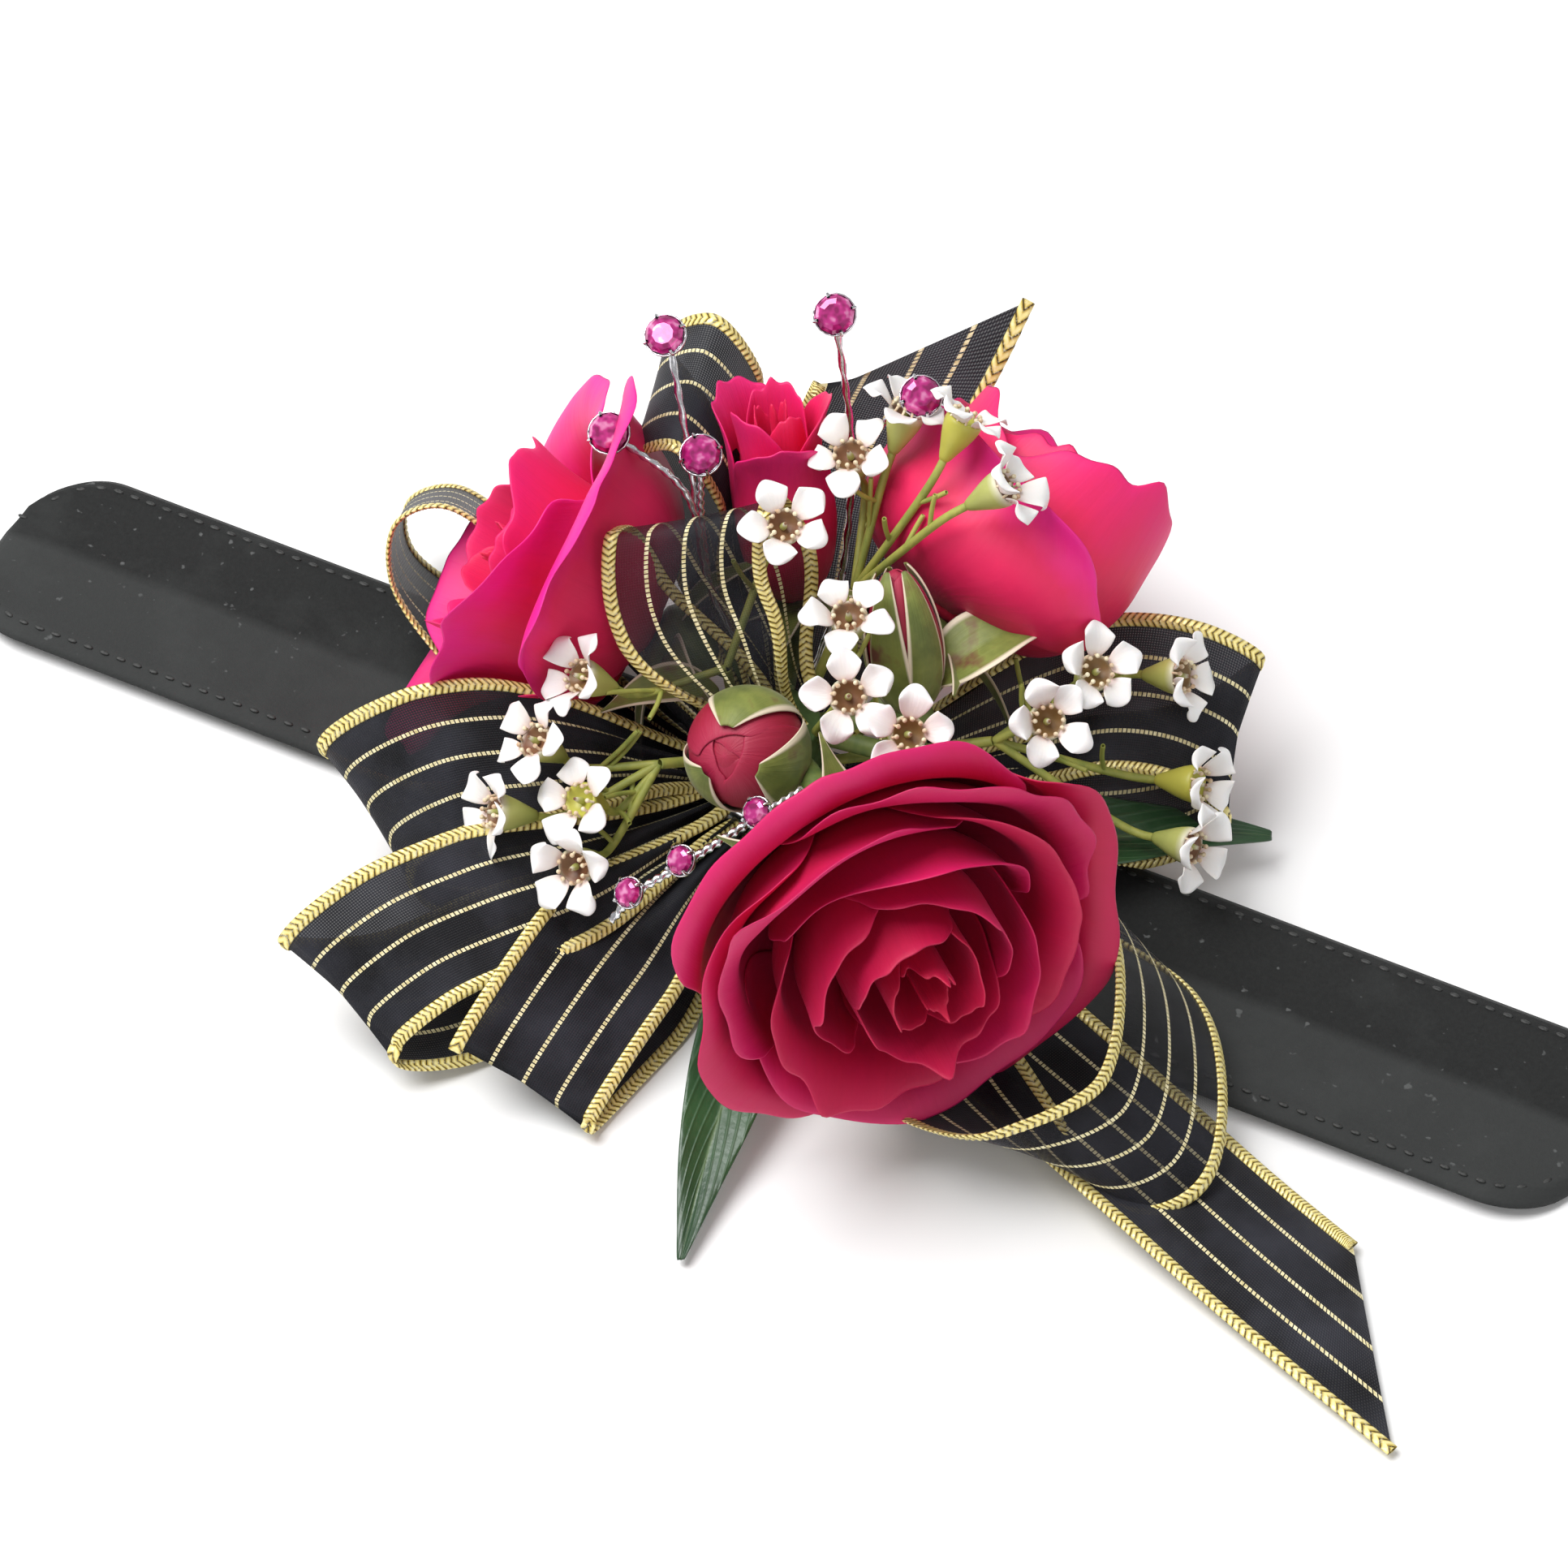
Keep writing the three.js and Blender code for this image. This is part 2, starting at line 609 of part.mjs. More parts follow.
function gemSpray(members, grow) {
  const stalks = members.map(({ place, axis, route }) =>
    tube(
      [...route.map(laid), along(place, axis, cupFoot(GEM_RADIUS))],
      WIRE_DIAMETER + 2 * grow,
      2 * route.length,
    ),
  );
  const cups = members.map(({ place, axis }) => stand(gemCup(GEM_RADIUS, grow), place, axis));
  return join([...stalks, ...cups].map(solidOf));
}

seatPiece("gem_spray_wire_left", FINISHES.silver, (grow) => gemSpray(SPRAY_GEMS.slice(0, 3), grow));
seatPiece("gem_spray_wire_back", FINISHES.silver, (grow) => gemSpray(SPRAY_GEMS.slice(3), grow));

// The strand of gems over the front rose: stones in cups along one twisted wire.
const STRAND_ROUTE = [
  [12, -17, 35],
  [9, -22, 34],
  [2, -29, 28.5],
  [-3, -33.5, 24.5],
  [-5, -36, 21],
].map(laid);
const STRAND_FACING = [-0.25, -0.62, 0.74];
const STRAND_LIFT = 1.7;
const strandGems = STRAND_ROUTE.slice(1, 4).map((place) => along(place, STRAND_FACING, STRAND_LIFT));

strandGems.forEach((place, n) => {
  const stone = (grow) => solidOf(stand(gemStone(STRAND_GEM_RADIUS, grow), place, STRAND_FACING));
  seatPiece(`strand_gem_${n + 1}`, FINISHES.gem, stone);
});
seatPiece("gem_strand_wire", FINISHES.silver, (grow) => {
  const wire = tube(STRAND_ROUTE, STRAND_WIRE_DIAMETER + 2 * grow, 6);
  const cups = strandGems.map((place) => stand(gemCup(STRAND_GEM_RADIUS, grow), place, STRAND_FACING));
  return join([wire, ...cups].map(solidOf));
});

// Waxflower: a cone-shaped cup that tapers into its stalk, under a rosette of five round petals.
function waxCup(grow) {
  const profile = [
    [0, -WAX_CUP_DEPTH - grow],
    [0.25 * WAX_CUP_RADIUS + grow, -WAX_CUP_DEPTH - grow],
    [WAX_CUP_RADIUS + grow, -grow],
    [0.8 * WAX_CUP_RADIUS + grow, WAX_PETAL_THICKNESS + 0.3 + grow],
    [0, WAX_PETAL_THICKNESS + 0.3 + grow],
  ];
  return turned(profile, 5);
}

function waxRosette() {
  const share = [0.55, 1, 1];
  const corners = Array.from({ length: 5 * share.length }, (_, k) => {
    const angle = (2 * Math.PI * k) / (5 * share.length);
    const reach = WAX_FLOWER_RADIUS * share[k % share.length];
    return new THREE.Vector2(reach * Math.cos(angle), reach * Math.sin(angle));
  });
  return new THREE.ExtrudeGeometry(new THREE.Shape(corners), { depth: WAX_PETAL_THICKNESS, bevelEnabled: false });
}

// The space a waxflower takes up, as one plain cone.
function waxSpace(grow) {
  const reach = 1.2 * WAX_FLOWER_RADIUS + grow;
  const profile = [
    [0, -WAX_CUP_DEPTH - grow],
    [0.4 * WAX_CUP_RADIUS + grow, -WAX_CUP_DEPTH - grow],
    [1.3 * WAX_CUP_RADIUS + grow, -grow],
    [reach, -grow],
    [reach, WAX_PETAL_THICKNESS + 0.3 + grow],
    [0, WAX_PETAL_THICKNESS + 0.3 + grow],
  ];
  return turned(profile, 8);
}

const SPRIGS = {
  back: {
    seat: coreSeat(1.25, 0.9),
    fork: laid([3, 16, 34]),
    flowers: [
      { place: laid([-1, 23, 50]), axis: [-0.1, -0.3, 0.95] },
      { place: laid([4, 28.5, 55]), axis: [0.1, 0.5, 0.86] },
      { place: laid([12.5, 27, 59]), axis: [0.2, 0.6, 0.78] },
      { place: laid([21, 20.5, 57.5]), axis: [0.7, 0.35, 0.6] },
    ],
  },
  centre: {
    seat: coreSeat(0.1, 0.98),
    fork: laid([11, -2, 37]),
    flowers: [
      { place: laid([9, 2, 46]), axis: [0, -0.2, 0.98] },
      { place: laid([15.5, -11.5, 48.5]), axis: [0.28, -0.5, 0.82] },
      { place: laid([25, -14.5, 49.5]), axis: [0.5, -0.4, 0.77] },
    ],
  },
  right: {
    seat: coreSeat(0.35, 0.6),
    fork: laid([26, 9, 24]),
    flowers: [
      { place: laid([34, 7, 34]), axis: [0.45, -0.45, 0.77] },
      { place: laid([36, 17, 34]), axis: [0.5, -0.2, 0.84] },
      { place: laid([43, 27.5, 26]), axis: [0.9, 0, 0.43] },
      { place: laid([49, 20, 16]), axis: [0.95, 0.05, 0.3] },
      { place: laid([52, 12, 14]), axis: [0.95, -0.1, 0.3] },
    ],
  },
  left: {
    seat: coreSeat(-2.4, 0.7),
    fork: laid([-10, -13, 24]),
    flowers: [
      { place: laid([-23, -21, 30]), axis: [-0.5, -0.4, 0.77] },
      { place: laid([-24.5, -29, 24]), axis: [-0.7, -0.6, 0.4] },
      { place: laid([-15, -24.5, 26.5]), axis: [-0.3, -0.6, 0.74] },
      { place: laid([-12.5, -31, 22]), axis: [-0.1, -0.85, 0.5] },
    ],
  },
  top: {
    seat: coreSeat(-2.9, 0.95),
    fork: laid([-6, -2, 33]),
    flowers: [
      { place: laid([-3, 8, 51]), axis: [0.35, -0.3, 0.88] },
      { place: laid([-20, -14, 36.5]), axis: [-0.6, -0.5, 0.62] },
    ],
  },
};

function sprigStems({ seat, fork, flowers }, grow) {
  const stem = tube([seat, seat.map((value, k) => (value + fork[k]) / 2), fork], SPRIG_STEM_DIAMETER + 2 * grow, 2);
  const stalks = flowers.map(({ place, axis }) => {
    const foot = along(place, axis, -0.9 * WAX_CUP_DEPTH);
    const neck = along(place, axis, -1.5 * WAX_CUP_DEPTH);
    return tube([fork, neck, foot], 0.85 * SPRIG_STEM_DIAMETER + 2 * grow, 3);
  });
  return [stem, ...stalks];
}

function sprig(parts, shapes, grow) {
  const heads = parts.flowers.flatMap(({ place, axis }, n) => shapes.map((shape) => stand(shape, place, axis, n)));
  return join([...sprigStems(parts, grow), ...heads].map(solidOf));
}

for (const [name, parts] of Object.entries(SPRIGS)) {
  const whole = (grow) => sprig(parts, [waxCup(grow), waxRosette()], grow);
  const space = (grow) => sprig(parts, [waxSpace(grow)], grow);
  seatPiece(`waxflower_sprig_${name}`, FINISHES.waxflower, whole, space);
}

// Leaves: pointed blades with a keel along the midrib.
const LEAVES = {
  front: { spine: [[2, -7, 7], [10, -25, 6.5], [14, -42, 5], [16.5, -54, 3.2], [19.5, -66, 1.2]], width: 11 },
  right: { spine: [[7, 3, 7], [24, 7, 7.5], [40, 13, 8], [50, 20, 7], [58, 25, 5]], width: 13 },
};

function leaf({ spine, width }, grow) {
  const midrib = new THREE.CatmullRomCurve3(spine.map(laid).map(vector));
  const surface = (u, v) => {
    const heading = midrib.getTangentAt(v);
    const side = heading.clone().cross(UP).normalize();
    const face = side.clone().cross(heading);
    const half = 0.5 * width * (0.12 + Math.sin(Math.PI * v ** 0.85)) * (1 - 0.1 * v);
    return midrib.getPointAt(v).addScaledVector(side, u * half).addScaledVector(face, 0.25 * Math.abs(u) * half);
  };
  return solidOf(sheet(surface, 2, 7, LEAF_THICKNESS, grow));
}

for (const [name, blade] of Object.entries(LEAVES)) {
  seatPiece(`leaf_${name}`, FINISHES.leaf, (grow) => leaf(blade, grow));
}

// Ribbon: lengths pinched together at the core. A loop comes back to the core and a tail ends in a slanted cut.
const RIBBONS = {
  loop_top: {
    route: [
      [2, -3, 25], [-5, -4, 34], [-12, -1, 43], [-14, 3.5, 50.5], [-14, 8.5, 47], [-8, 8, 37], [0, 4, 26],
    ],
    across: [0.84, 0.5, 0.2],
    loop: true,
  },
  loop_back: {
    route: [
      [-4, 6, 17], [-20, 20, 33], [-21.5, 22, 46], [-26.5, 22, 54], [-32, 18, 47], [-28, 17, 34], [-7, 8, 12],
    ],
    across: [-0.2, 0.95, 0.2],
    loop: true,
  },
  loop_far_left: {
    route: [
      [-8, 3, 9], [-32, 13, 18], [-50, 14, 27], [-58, 10, 24], [-58, 7, 17], [-48, 6, 13], [-8, 1, 7.5],
    ],
    across: [0.3, -0.7, 0.65],
    loop: true,
  },
  loop_left: {
    route: [
      [-7, -5, 15], [-18, -13, 22], [-27, -19, 24], [-36, -24, 22], [-44, -28, 13], [-35, -26, 7], [-8, -6, 10],
    ],
    across: [0.77, -0.33, -0.53],
    loop: true,
  },
  loop_low_left: {
    route: [
      [-4, -8, 13], [-13, -27, 17], [-21.5, -38, 18], [-29, -47, 16], [-34, -54, 10], [-26, -47, 6.2], [-3, -9, 9],
    ],
    across: [0.86, -0.19, -0.46],
    loop: true,
  },
  loop_low_front: {
    route: [
      [-1, -8.5, 12], [-5, -25, 12.5], [-7, -40, 11], [-8.5, -54, 6.2], [-6, -40, 5.2], [0, -9, 7.5],
    ],
    across: [0.8, 0.1, -0.4],
    loop: true,
  },
  loop_right: {
    route: [
      [7, 5, 10], [25, 22, 15], [35, 27, 19], [45, 29, 19.5], [51, 29.5, 16], [45, 24, 10], [8, 4, 8.5],
    ],
    across: [0.15, -0.75, -0.62],
    loop: true,
  },
  loop_front_right: {
    route: [
      [8, -2, 11], [30, 0, 13], [50, -4, 15], [59, -16, 15], [62, -29, 11.5], [55, -36, 10], [42, -34, 9.5], [6, -6, 9],
    ],
    across: [0.4, 0, -0.9],
    loop: true,
  },
  tail_front_right: {
    route: [
      [5, -7, 8.5], [26, -14, 7], [46, -21, 5.5], [64, -27.5, 4], [82, -34, 2.2], [101, -40.5, 1.3],
    ],
    across: [0.25, -0.97, 0],
    slant: 12,
  },
  tail_back: {
    route: [[-1, 8, 10], [-5, 26, 16], [-8, 40, 26], [-5, 52, 40]],
    across: [0.95, 0.3, 0.1],
    slant: 8,
  },
};

function ribbon({ route, across, loop = false, slant = 0 }, grow) {
  const path = new THREE.CatmullRomCurve3(route.map(laid).map(vector));
  const spread = vector(across).normalize();
  const surface = (u, v) => {
    const heading = path.getTangentAt(v);
    const side = spread.clone().addScaledVector(heading, -spread.dot(heading)).normalize();
    const fromPinch = loop ? Math.min(v, 1 - v) : v;
    const open = RIBBON_PINCH + (1 - RIBBON_PINCH) * THREE.MathUtils.smoothstep(fromPinch, 0, 0.3);
    const place = path.getPointAt(v).addScaledVector(heading, slant * u * v ** 8);
    return place.addScaledVector(side, 0.5 * RIBBON_WIDTH * open * u);
  };
  return solidOf(sheet(surface, 2, 15, RIBBON_THICKNESS, grow));
}

for (const [name, run] of Object.entries(RIBBONS)) {
  seatPiece(`ribbon_${name}`, FINISHES.ribbon, (grow) => ribbon(run, grow));
}

export default corsage;
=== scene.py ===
# %% [markdown]
# # Wrist corsage
# Four magenta roses, two furled buds, sprigs of waxflower, pink gems on wires and a bow of sheer black
# ribbon with gold stripes, tied to a slap band. The band lies straight, and its two halves curl down
# and round a wrist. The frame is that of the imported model, in metres: +X along the band, +Z up through
# the flowers, and the origin under the middle of the band. The object's sizes are in millimetres.

# %% The frame and the tools
import math
import random

import bmesh
import bpy
from mathutils import Matrix, Quaternion, Vector
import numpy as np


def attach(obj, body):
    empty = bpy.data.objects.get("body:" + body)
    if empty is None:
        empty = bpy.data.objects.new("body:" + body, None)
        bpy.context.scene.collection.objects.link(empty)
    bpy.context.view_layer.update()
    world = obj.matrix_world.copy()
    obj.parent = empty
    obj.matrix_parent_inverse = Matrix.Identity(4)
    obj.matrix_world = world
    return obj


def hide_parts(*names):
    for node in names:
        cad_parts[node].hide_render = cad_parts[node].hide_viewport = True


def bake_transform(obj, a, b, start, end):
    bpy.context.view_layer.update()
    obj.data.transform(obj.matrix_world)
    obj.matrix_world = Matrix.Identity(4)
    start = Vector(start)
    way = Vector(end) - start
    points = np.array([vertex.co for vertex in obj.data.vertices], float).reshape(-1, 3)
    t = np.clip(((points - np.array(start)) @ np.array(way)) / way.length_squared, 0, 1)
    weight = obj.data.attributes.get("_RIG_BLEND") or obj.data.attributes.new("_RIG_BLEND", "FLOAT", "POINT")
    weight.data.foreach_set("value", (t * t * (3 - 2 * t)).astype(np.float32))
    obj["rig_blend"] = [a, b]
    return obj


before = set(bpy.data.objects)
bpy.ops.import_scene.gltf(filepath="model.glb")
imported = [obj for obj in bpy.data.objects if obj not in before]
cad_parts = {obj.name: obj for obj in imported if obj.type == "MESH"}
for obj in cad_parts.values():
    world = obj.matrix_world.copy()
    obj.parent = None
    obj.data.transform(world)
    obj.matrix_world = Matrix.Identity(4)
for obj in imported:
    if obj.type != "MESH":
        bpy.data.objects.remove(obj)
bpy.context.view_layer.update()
MM = 0.001

# %% [markdown]
# ## Camera
# The photograph looks down at about fifty degrees, from the front and a little to the right, through a
# long lens. The three axes of the view and the point it aims at were worked out from the band, which
# is a flat strip of known size that fills the picture from side to side.

# %% Camera
AZIMUTH = math.radians(26.3)
ELEVATION = math.radians(50)
DISTANCE = 1.1
AIM_RIGHT = 0.93
AIM_UP = 7.37
SENSOR_WIDTH = 36
FOCAL_PIXELS = 10593
IMAGE_PIXELS = 1932

to_camera = Vector((
    math.sin(AZIMUTH) * math.cos(ELEVATION),
    -math.cos(AZIMUTH) * math.cos(ELEVATION),
    math.sin(ELEVATION),
))
camera_right = Vector((math.cos(AZIMUTH), math.sin(AZIMUTH), 0))
camera_up = to_camera.cross(camera_right)
aim = AIM_RIGHT * MM * camera_right + AIM_UP * MM * camera_up

camera_data = bpy.data.cameras.new("camera")
camera_data.sensor_width = SENSOR_WIDTH
camera_data.lens = SENSOR_WIDTH * FOCAL_PIXELS / IMAGE_PIXELS
camera = bpy.data.objects.new("camera", camera_data)
turn = Matrix((camera_right, camera_up, to_camera)).transposed()
camera.matrix_world = Matrix.Translation(aim + DISTANCE * to_camera) @ turn.to_4x4()
bpy.context.collection.objects.link(camera)
bpy.context.scene.camera = camera
print("camera lens: %.1f mm" % camera_data.lens)

# %% [markdown]
# ## Nodes
# The studio's light and every material are drawn by nodes. They could be added and linked one by one,
# as in the shader editor, but a pattern then takes many lines. Here a signal is one output of a node,
# and plain arithmetic on signals adds the nodes that work it out.

# %% Node helpers


def nodes_of(owner):
    owner.use_nodes = True
    owner.node_tree.nodes.clear()
    return owner.node_tree


def add_node(tree, kind, settings=None, **inputs):
    """A node with its settings and inputs; an input that is a signal is linked, and any other is set."""
    made = tree.nodes.new(kind)
    for key, value in (settings or {}).items():
        setattr(made, key, value)
    for key, value in inputs.items():
        name = int(key[1:]) if key[0] == "i" and key[1:].isdigit() else key.replace("_", " ")
        if isinstance(value, Signal):
            tree.links.new(value.socket, made.inputs[name])
        else:
            made.inputs[name].default_value = value
    return made


def signal(tree, kind, output, settings=None, **inputs):
    """One output of a new node."""
    return Signal(tree, add_node(tree, kind, settings, **inputs).outputs[output])


def grey(value):
    return (value, value, value)


class Signal:
    """One output in a node tree, a number or a colour that varies over the surface."""

    def __init__(self, tree, socket):
        self.tree = tree
        self.socket = socket

    def maths(self, operation, other=0.0, clamp=False):
        settings = {"operation": operation, "use_clamp": clamp}
        return signal(self.tree, "ShaderNodeMath", 0, settings, i0=self, i1=other)

    def __add__(self, other):
        return self.maths("ADD", other)

    def __sub__(self, other):
        return self.maths("SUBTRACT", other)

    def __mul__(self, other):
        return self.maths("MULTIPLY", other)

    def __abs__(self):
        return self.maths("ABSOLUTE")

    def from_middle(self):
        """The distance of a coordinate between 0 and 1 from its middle."""
        return abs(self - 0.5)

    def axis(self, n):
        return signal(self.tree, "ShaderNodeSeparateXYZ", n, Vector=self)

    def stretched(self, scale):
        return signal(self.tree, "ShaderNodeMapping", 0, Vector=self, Scale=scale)

    def noise(self, scale, detail=3.0, roughness=0.55):
        grain = dict(Scale=scale, Detail=detail, Roughness=roughness)
        return signal(self.tree, "ShaderNodeTexNoise", "Fac", Vector=self, **grain)

    def bump(self, distance, strength=1.0):
        return signal(self.tree, "ShaderNodeBump", 0, Height=self, Distance=distance * MM, Strength=strength)

    def ramp(self, *stops):
        """The colours that this signal runs through, each at its place."""
        made = add_node(self.tree, "ShaderNodeValToRGB", Fac=self)
        elements = made.color_ramp.elements
        while len(elements) < len(stops):
            elements.new(0.5)
        for element, (place, colour) in zip(elements, stops):
            element.position = place
            element.color = (*colour, 1)
        return Signal(self.tree, made.outputs["Color"])

    def mix(self, *colours):
        """The first colour where this signal is 0 and the second where it is 1."""
        a, b = [colour if isinstance(colour, Signal) else (*colour, 1) for colour in colours]
        return signal(self.tree, "ShaderNodeMix", 2, {"data_type": "RGBA"}, i0=self, i6=a, i7=b)


def start_material(name):
    """A new material with its UV coordinates and its object coordinates."""
    material = bpy.data.materials.new(name)
    tree = nodes_of(material)
    places = add_node(tree, "ShaderNodeTexCoord").outputs
    return material, Signal(tree, places["UV"]), Signal(tree, places["Object"])


def end_material(material, **inputs):
    tree = material.node_tree
    add_node(tree, "ShaderNodeOutputMaterial", Surface=signal(tree, "ShaderNodeBsdfPrincipled", 0, **inputs))
    return material


def shade_of(material):
    """The shade that every point of a piece carries."""
    return signal(material.node_tree, "ShaderNodeAttribute", "Fac", {"attribute_name": "shade"})


# %% [markdown]
# ## Studio
# The photograph is a catalogue picture on white. Strong lamps would whiten the floor, but they would
# bleach the petals too. So the floor is pale by its own colour, the room is full white only to the
# camera, and two large soft lamps leave a faint shadow where the object meets the floor.

# %% Studio
WHITE = (1, 1, 1, 1)
FLOOR_LEVEL = -0.15

bpy.context.scene.view_settings.view_transform = "Standard"

world = bpy.data.worlds.new("studio")
bpy.context.scene.world = world
tree = nodes_of(world)
seen = signal(tree, "ShaderNodeLightPath", "Is Camera Ray")
room = signal(tree, "ShaderNodeBackground", 0, Color=WHITE, Strength=0.42)
paper = signal(tree, "ShaderNodeBackground", 0, Color=WHITE, Strength=1.0)
mixed = signal(tree, "ShaderNodeMixShader", 0, i0=seen, i1=room, i2=paper)
add_node(tree, "ShaderNodeOutputWorld", Surface=mixed)

floor_mesh = bpy.data.meshes.new("floor")
bm = bmesh.new()
bmesh.ops.create_grid(bm, x_segments=1, y_segments=1, size=4)
bm.to_mesh(floor_mesh)
bm.free()
floor = bpy.data.objects.new("floor", floor_mesh)
floor.location.z = FLOOR_LEVEL * MM
bpy.context.collection.objects.link(floor)
pale_floor = bpy.data.materials.new("pale_floor")
grain = signal(nodes_of(pale_floor), "ShaderNodeTexNoise", "Fac", Scale=3.0)
end_material(pale_floor, Base_Color=grain.ramp((0.0, grey(0.93)), (1.0, grey(0.96))), Roughness=0.9)
floor.data.materials.append(pale_floor)


def add_lamp(name, place, size, power):
    data = bpy.data.lights.new(name, "AREA")
    data.shape = "DISK"
    data.size = size
    data.energy = power
    lamp = bpy.data.objects.new(name, data)
    lamp.location = place
    lamp.rotation_euler = (-Vector(place)).to_track_quat("-Z", "Y").to_euler()
    bpy.context.collection.objects.link(lamp)


add_lamp("key_lamp", (-0.4, -0.15, 0.95), 0.85, 13.0)
add_lamp("fill_lamp", (0.7, -0.6, 0.5), 0.7, 1.6)
print("lamps:", ", ".join(lamp.name for lamp in bpy.data.lights))

# %% [markdown]
# ## Materials
# Every pattern lies on the piece's own UV map or its object coordinates, so it keeps its place when the
# band bends.
#
# Rose petals are velvety. The colour runs from deep crimson at the foot, which is painted shade of the
# deep heart, to a cooler magenta at the rim, which is partly the petal's own colour and partly a painted
# reflection of the sky on the rolled lips. Fine veins fan out along the petal, and each petal differs a
# little from the next.
# A painted picture would do for one petal. Nodes do for all of them, because they read the place along
# the petal, and its shade, from the mesh.

# %% Petal material


def petal_material(name, foot, middle, rim):
    material, uv, place = start_material(name)
    veins = uv.stretched((30.0, 1.4, 1.0)).noise(1.0, 4.0, 0.6)
    along = uv.axis(1) + (place.noise(130.0) - 0.5) * 0.3
    # The dark foot colour is painted shade of the rose's deep heart.
    colour = along.ramp((0.05, foot), (0.6, middle), (1.0, middle))
    veined = (veins * 0.35).mix(colour, [0.6 * c for c in middle])
    # Towards the rim the shade turns the petal magenta: partly its own colour, partly a painted reflection of
    # the sky.
    edge = along.ramp((0.7, grey(0.12)), (0.97, grey(1))).axis(0)
    tinted = shade_of(material).maths("MULTIPLY", edge, clamp=True).mix(veined, rim)
    return end_material(
        material, Base_Color=tinted, Roughness=0.55, Normal=veins.bump(0.2, 0.45),
        Sheen_Weight=0.06, Sheen_Roughness=0.4, Sheen_Tint=(1.0, 0.2, 0.6, 1.0),
        Subsurface_Weight=0.1, Subsurface_Radius=(0.004, 0.0005, 0.001),
    )


PETAL = petal_material("rose_petal", (0.13, 0.001, 0.008), (0.56, 0.005, 0.052), (0.78, 0.008, 0.24))
# A copy of the petal material painted lighter: painted light for the roses that face the light.
PETAL_PAINTED_LIT = petal_material(
    "rose_petal_painted_lit", (0.34, 0.003, 0.02), (0.84, 0.013, 0.09), (0.90, 0.014, 0.38),
)
PETAL_DARK = petal_material("bud_petal", (0.20, 0.004, 0.014), (0.32, 0.005, 0.030), (0.52, 0.03, 0.10))
print("petal materials:", PETAL.name, PETAL_PAINTED_LIT.name, PETAL_DARK.name)

# %% [markdown]
# Sepals and stalks are green with a maroon flush, and the sepals have pale cream margins. The leaves are
# darker and waxy, with a pale midrib and side veins. Margins and veins could be modelled, but they hardly
# stand up, so they are drawn on the UV map, which follows each blade as it bends.

# %% Green materials


def sepal_material():
    material, uv, place = start_material("green_sepal")
    green = place.noise(220.0).ramp(
        (0.3, (0.10, 0.13, 0.02)), (0.57, (0.20, 0.235, 0.045)), (0.74, (0.15, 0.04, 0.025)),
    )
    margin = uv.axis(0).from_middle().ramp((0.39, grey(0)), (0.44, grey(1)))
    fibres = uv.stretched((18.0, 1.5, 1.0)).noise(1.0)
    return end_material(
        material, Base_Color=margin.mix(green, (0.76, 0.66, 0.50)), Roughness=0.5,
        Normal=fibres.bump(0.2, 0.5), Sheen_Weight=0.15,
    )


def stem_material(name, light, dark):
    material, _, place = start_material(name)
    streaks = place.stretched((500.0, 500.0, 120.0)).noise(1.0)
    colour = streaks.ramp((0.3, dark), (0.7, light))
    return end_material(material, Base_Color=colour, Roughness=0.55, Normal=streaks.bump(0.1, 0.6))


def leaf_material():
    material, uv, place = start_material("leaf")
    across = uv.axis(0).from_middle()
    slanted = uv.axis(1) * 26.0 - across * 22.0
    side_veins = abs(slanted.maths("SINE")).maths("POWER", 14.0)
    midrib = across.ramp((0.0, grey(1)), (0.045, grey(0)))
    blotch = place.noise(120.0).ramp((0.3, (0.012, 0.045, 0.016)), (0.7, (0.03, 0.085, 0.03)))
    veined = (side_veins * 0.25).mix(blotch, (0.06, 0.13, 0.05))
    return end_material(
        material, Base_Color=(midrib * 0.6).mix(veined, (0.13, 0.20, 0.08)), Roughness=0.3,
        Normal=(side_veins + place.noise(900.0)).bump(0.15, 0.5), Coat_Weight=0.25, Coat_Roughness=0.2,
    )


SEPAL = sepal_material()
STEM = stem_material("green_stem", (0.22, 0.27, 0.07), (0.10, 0.16, 0.04))
SPRIG = stem_material("sprig_stem", (0.46, 0.46, 0.10), (0.24, 0.29, 0.06))
TAPE = stem_material("stem_tape", (0.10, 0.17, 0.05), (0.05, 0.10, 0.03))
LEAF = leaf_material()
print("green materials:", SEPAL.name, STEM.name, SPRIG.name, TAPE.name, LEAF.name)

# %% [markdown]
# Waxflower petals are white and waxy, with a little pink towards the middle. The cup in the middle is
# yellow-green, ringed with maroon, and carries cream stamens. Thin petals let some light through. A
# little subsurface scattering gives that glow and keeps them opaque, as a see-through one would not.

# %% Waxflower materials


def wax_petal_material():
    material, uv, place = start_material("waxflower")
    tint = uv.axis(1) + place.noise(400.0) * 0.3
    colour = tint.ramp((0.15, (0.76, 0.58, 0.54)), (0.36, (0.85, 0.81, 0.78)), (0.8, (0.88, 0.87, 0.86)))
    veins = uv.stretched((14.0, 1.2, 1.0)).noise(1.0)
    return end_material(
        material, Base_Color=colour, Roughness=0.38, Normal=veins.bump(0.12, 0.4),
        Subsurface_Weight=0.15, Subsurface_Radius=(0.002, 0.0015, 0.001),
    )


def wax_cup_material():
    material, uv, place = start_material("waxflower_cup")
    tone = place.noise(500.0)
    ring = uv.axis(1).ramp(
        (0.0, (0.33, 0.38, 0.08)), (0.5, (0.50, 0.52, 0.16)),
        (0.66, (0.80, 0.76, 0.62)), (0.78, (0.20, 0.06, 0.04)),
    )
    aged = shade_of(material).mix(ring, (0.55, 0.52, 0.08))
    colour = (tone * 0.35).mix(aged, (0.24, 0.26, 0.06))
    return end_material(material, Base_Color=colour, Roughness=0.42, Normal=tone.bump(0.1, 0.5))


def speckled_material(name, scale, stops, detail=3.0, **surface):
    """Plain specks of two or three colours."""
    material, _, place = start_material(name)
    return end_material(material, Base_Color=place.noise(scale, detail).ramp(*stops), **surface)


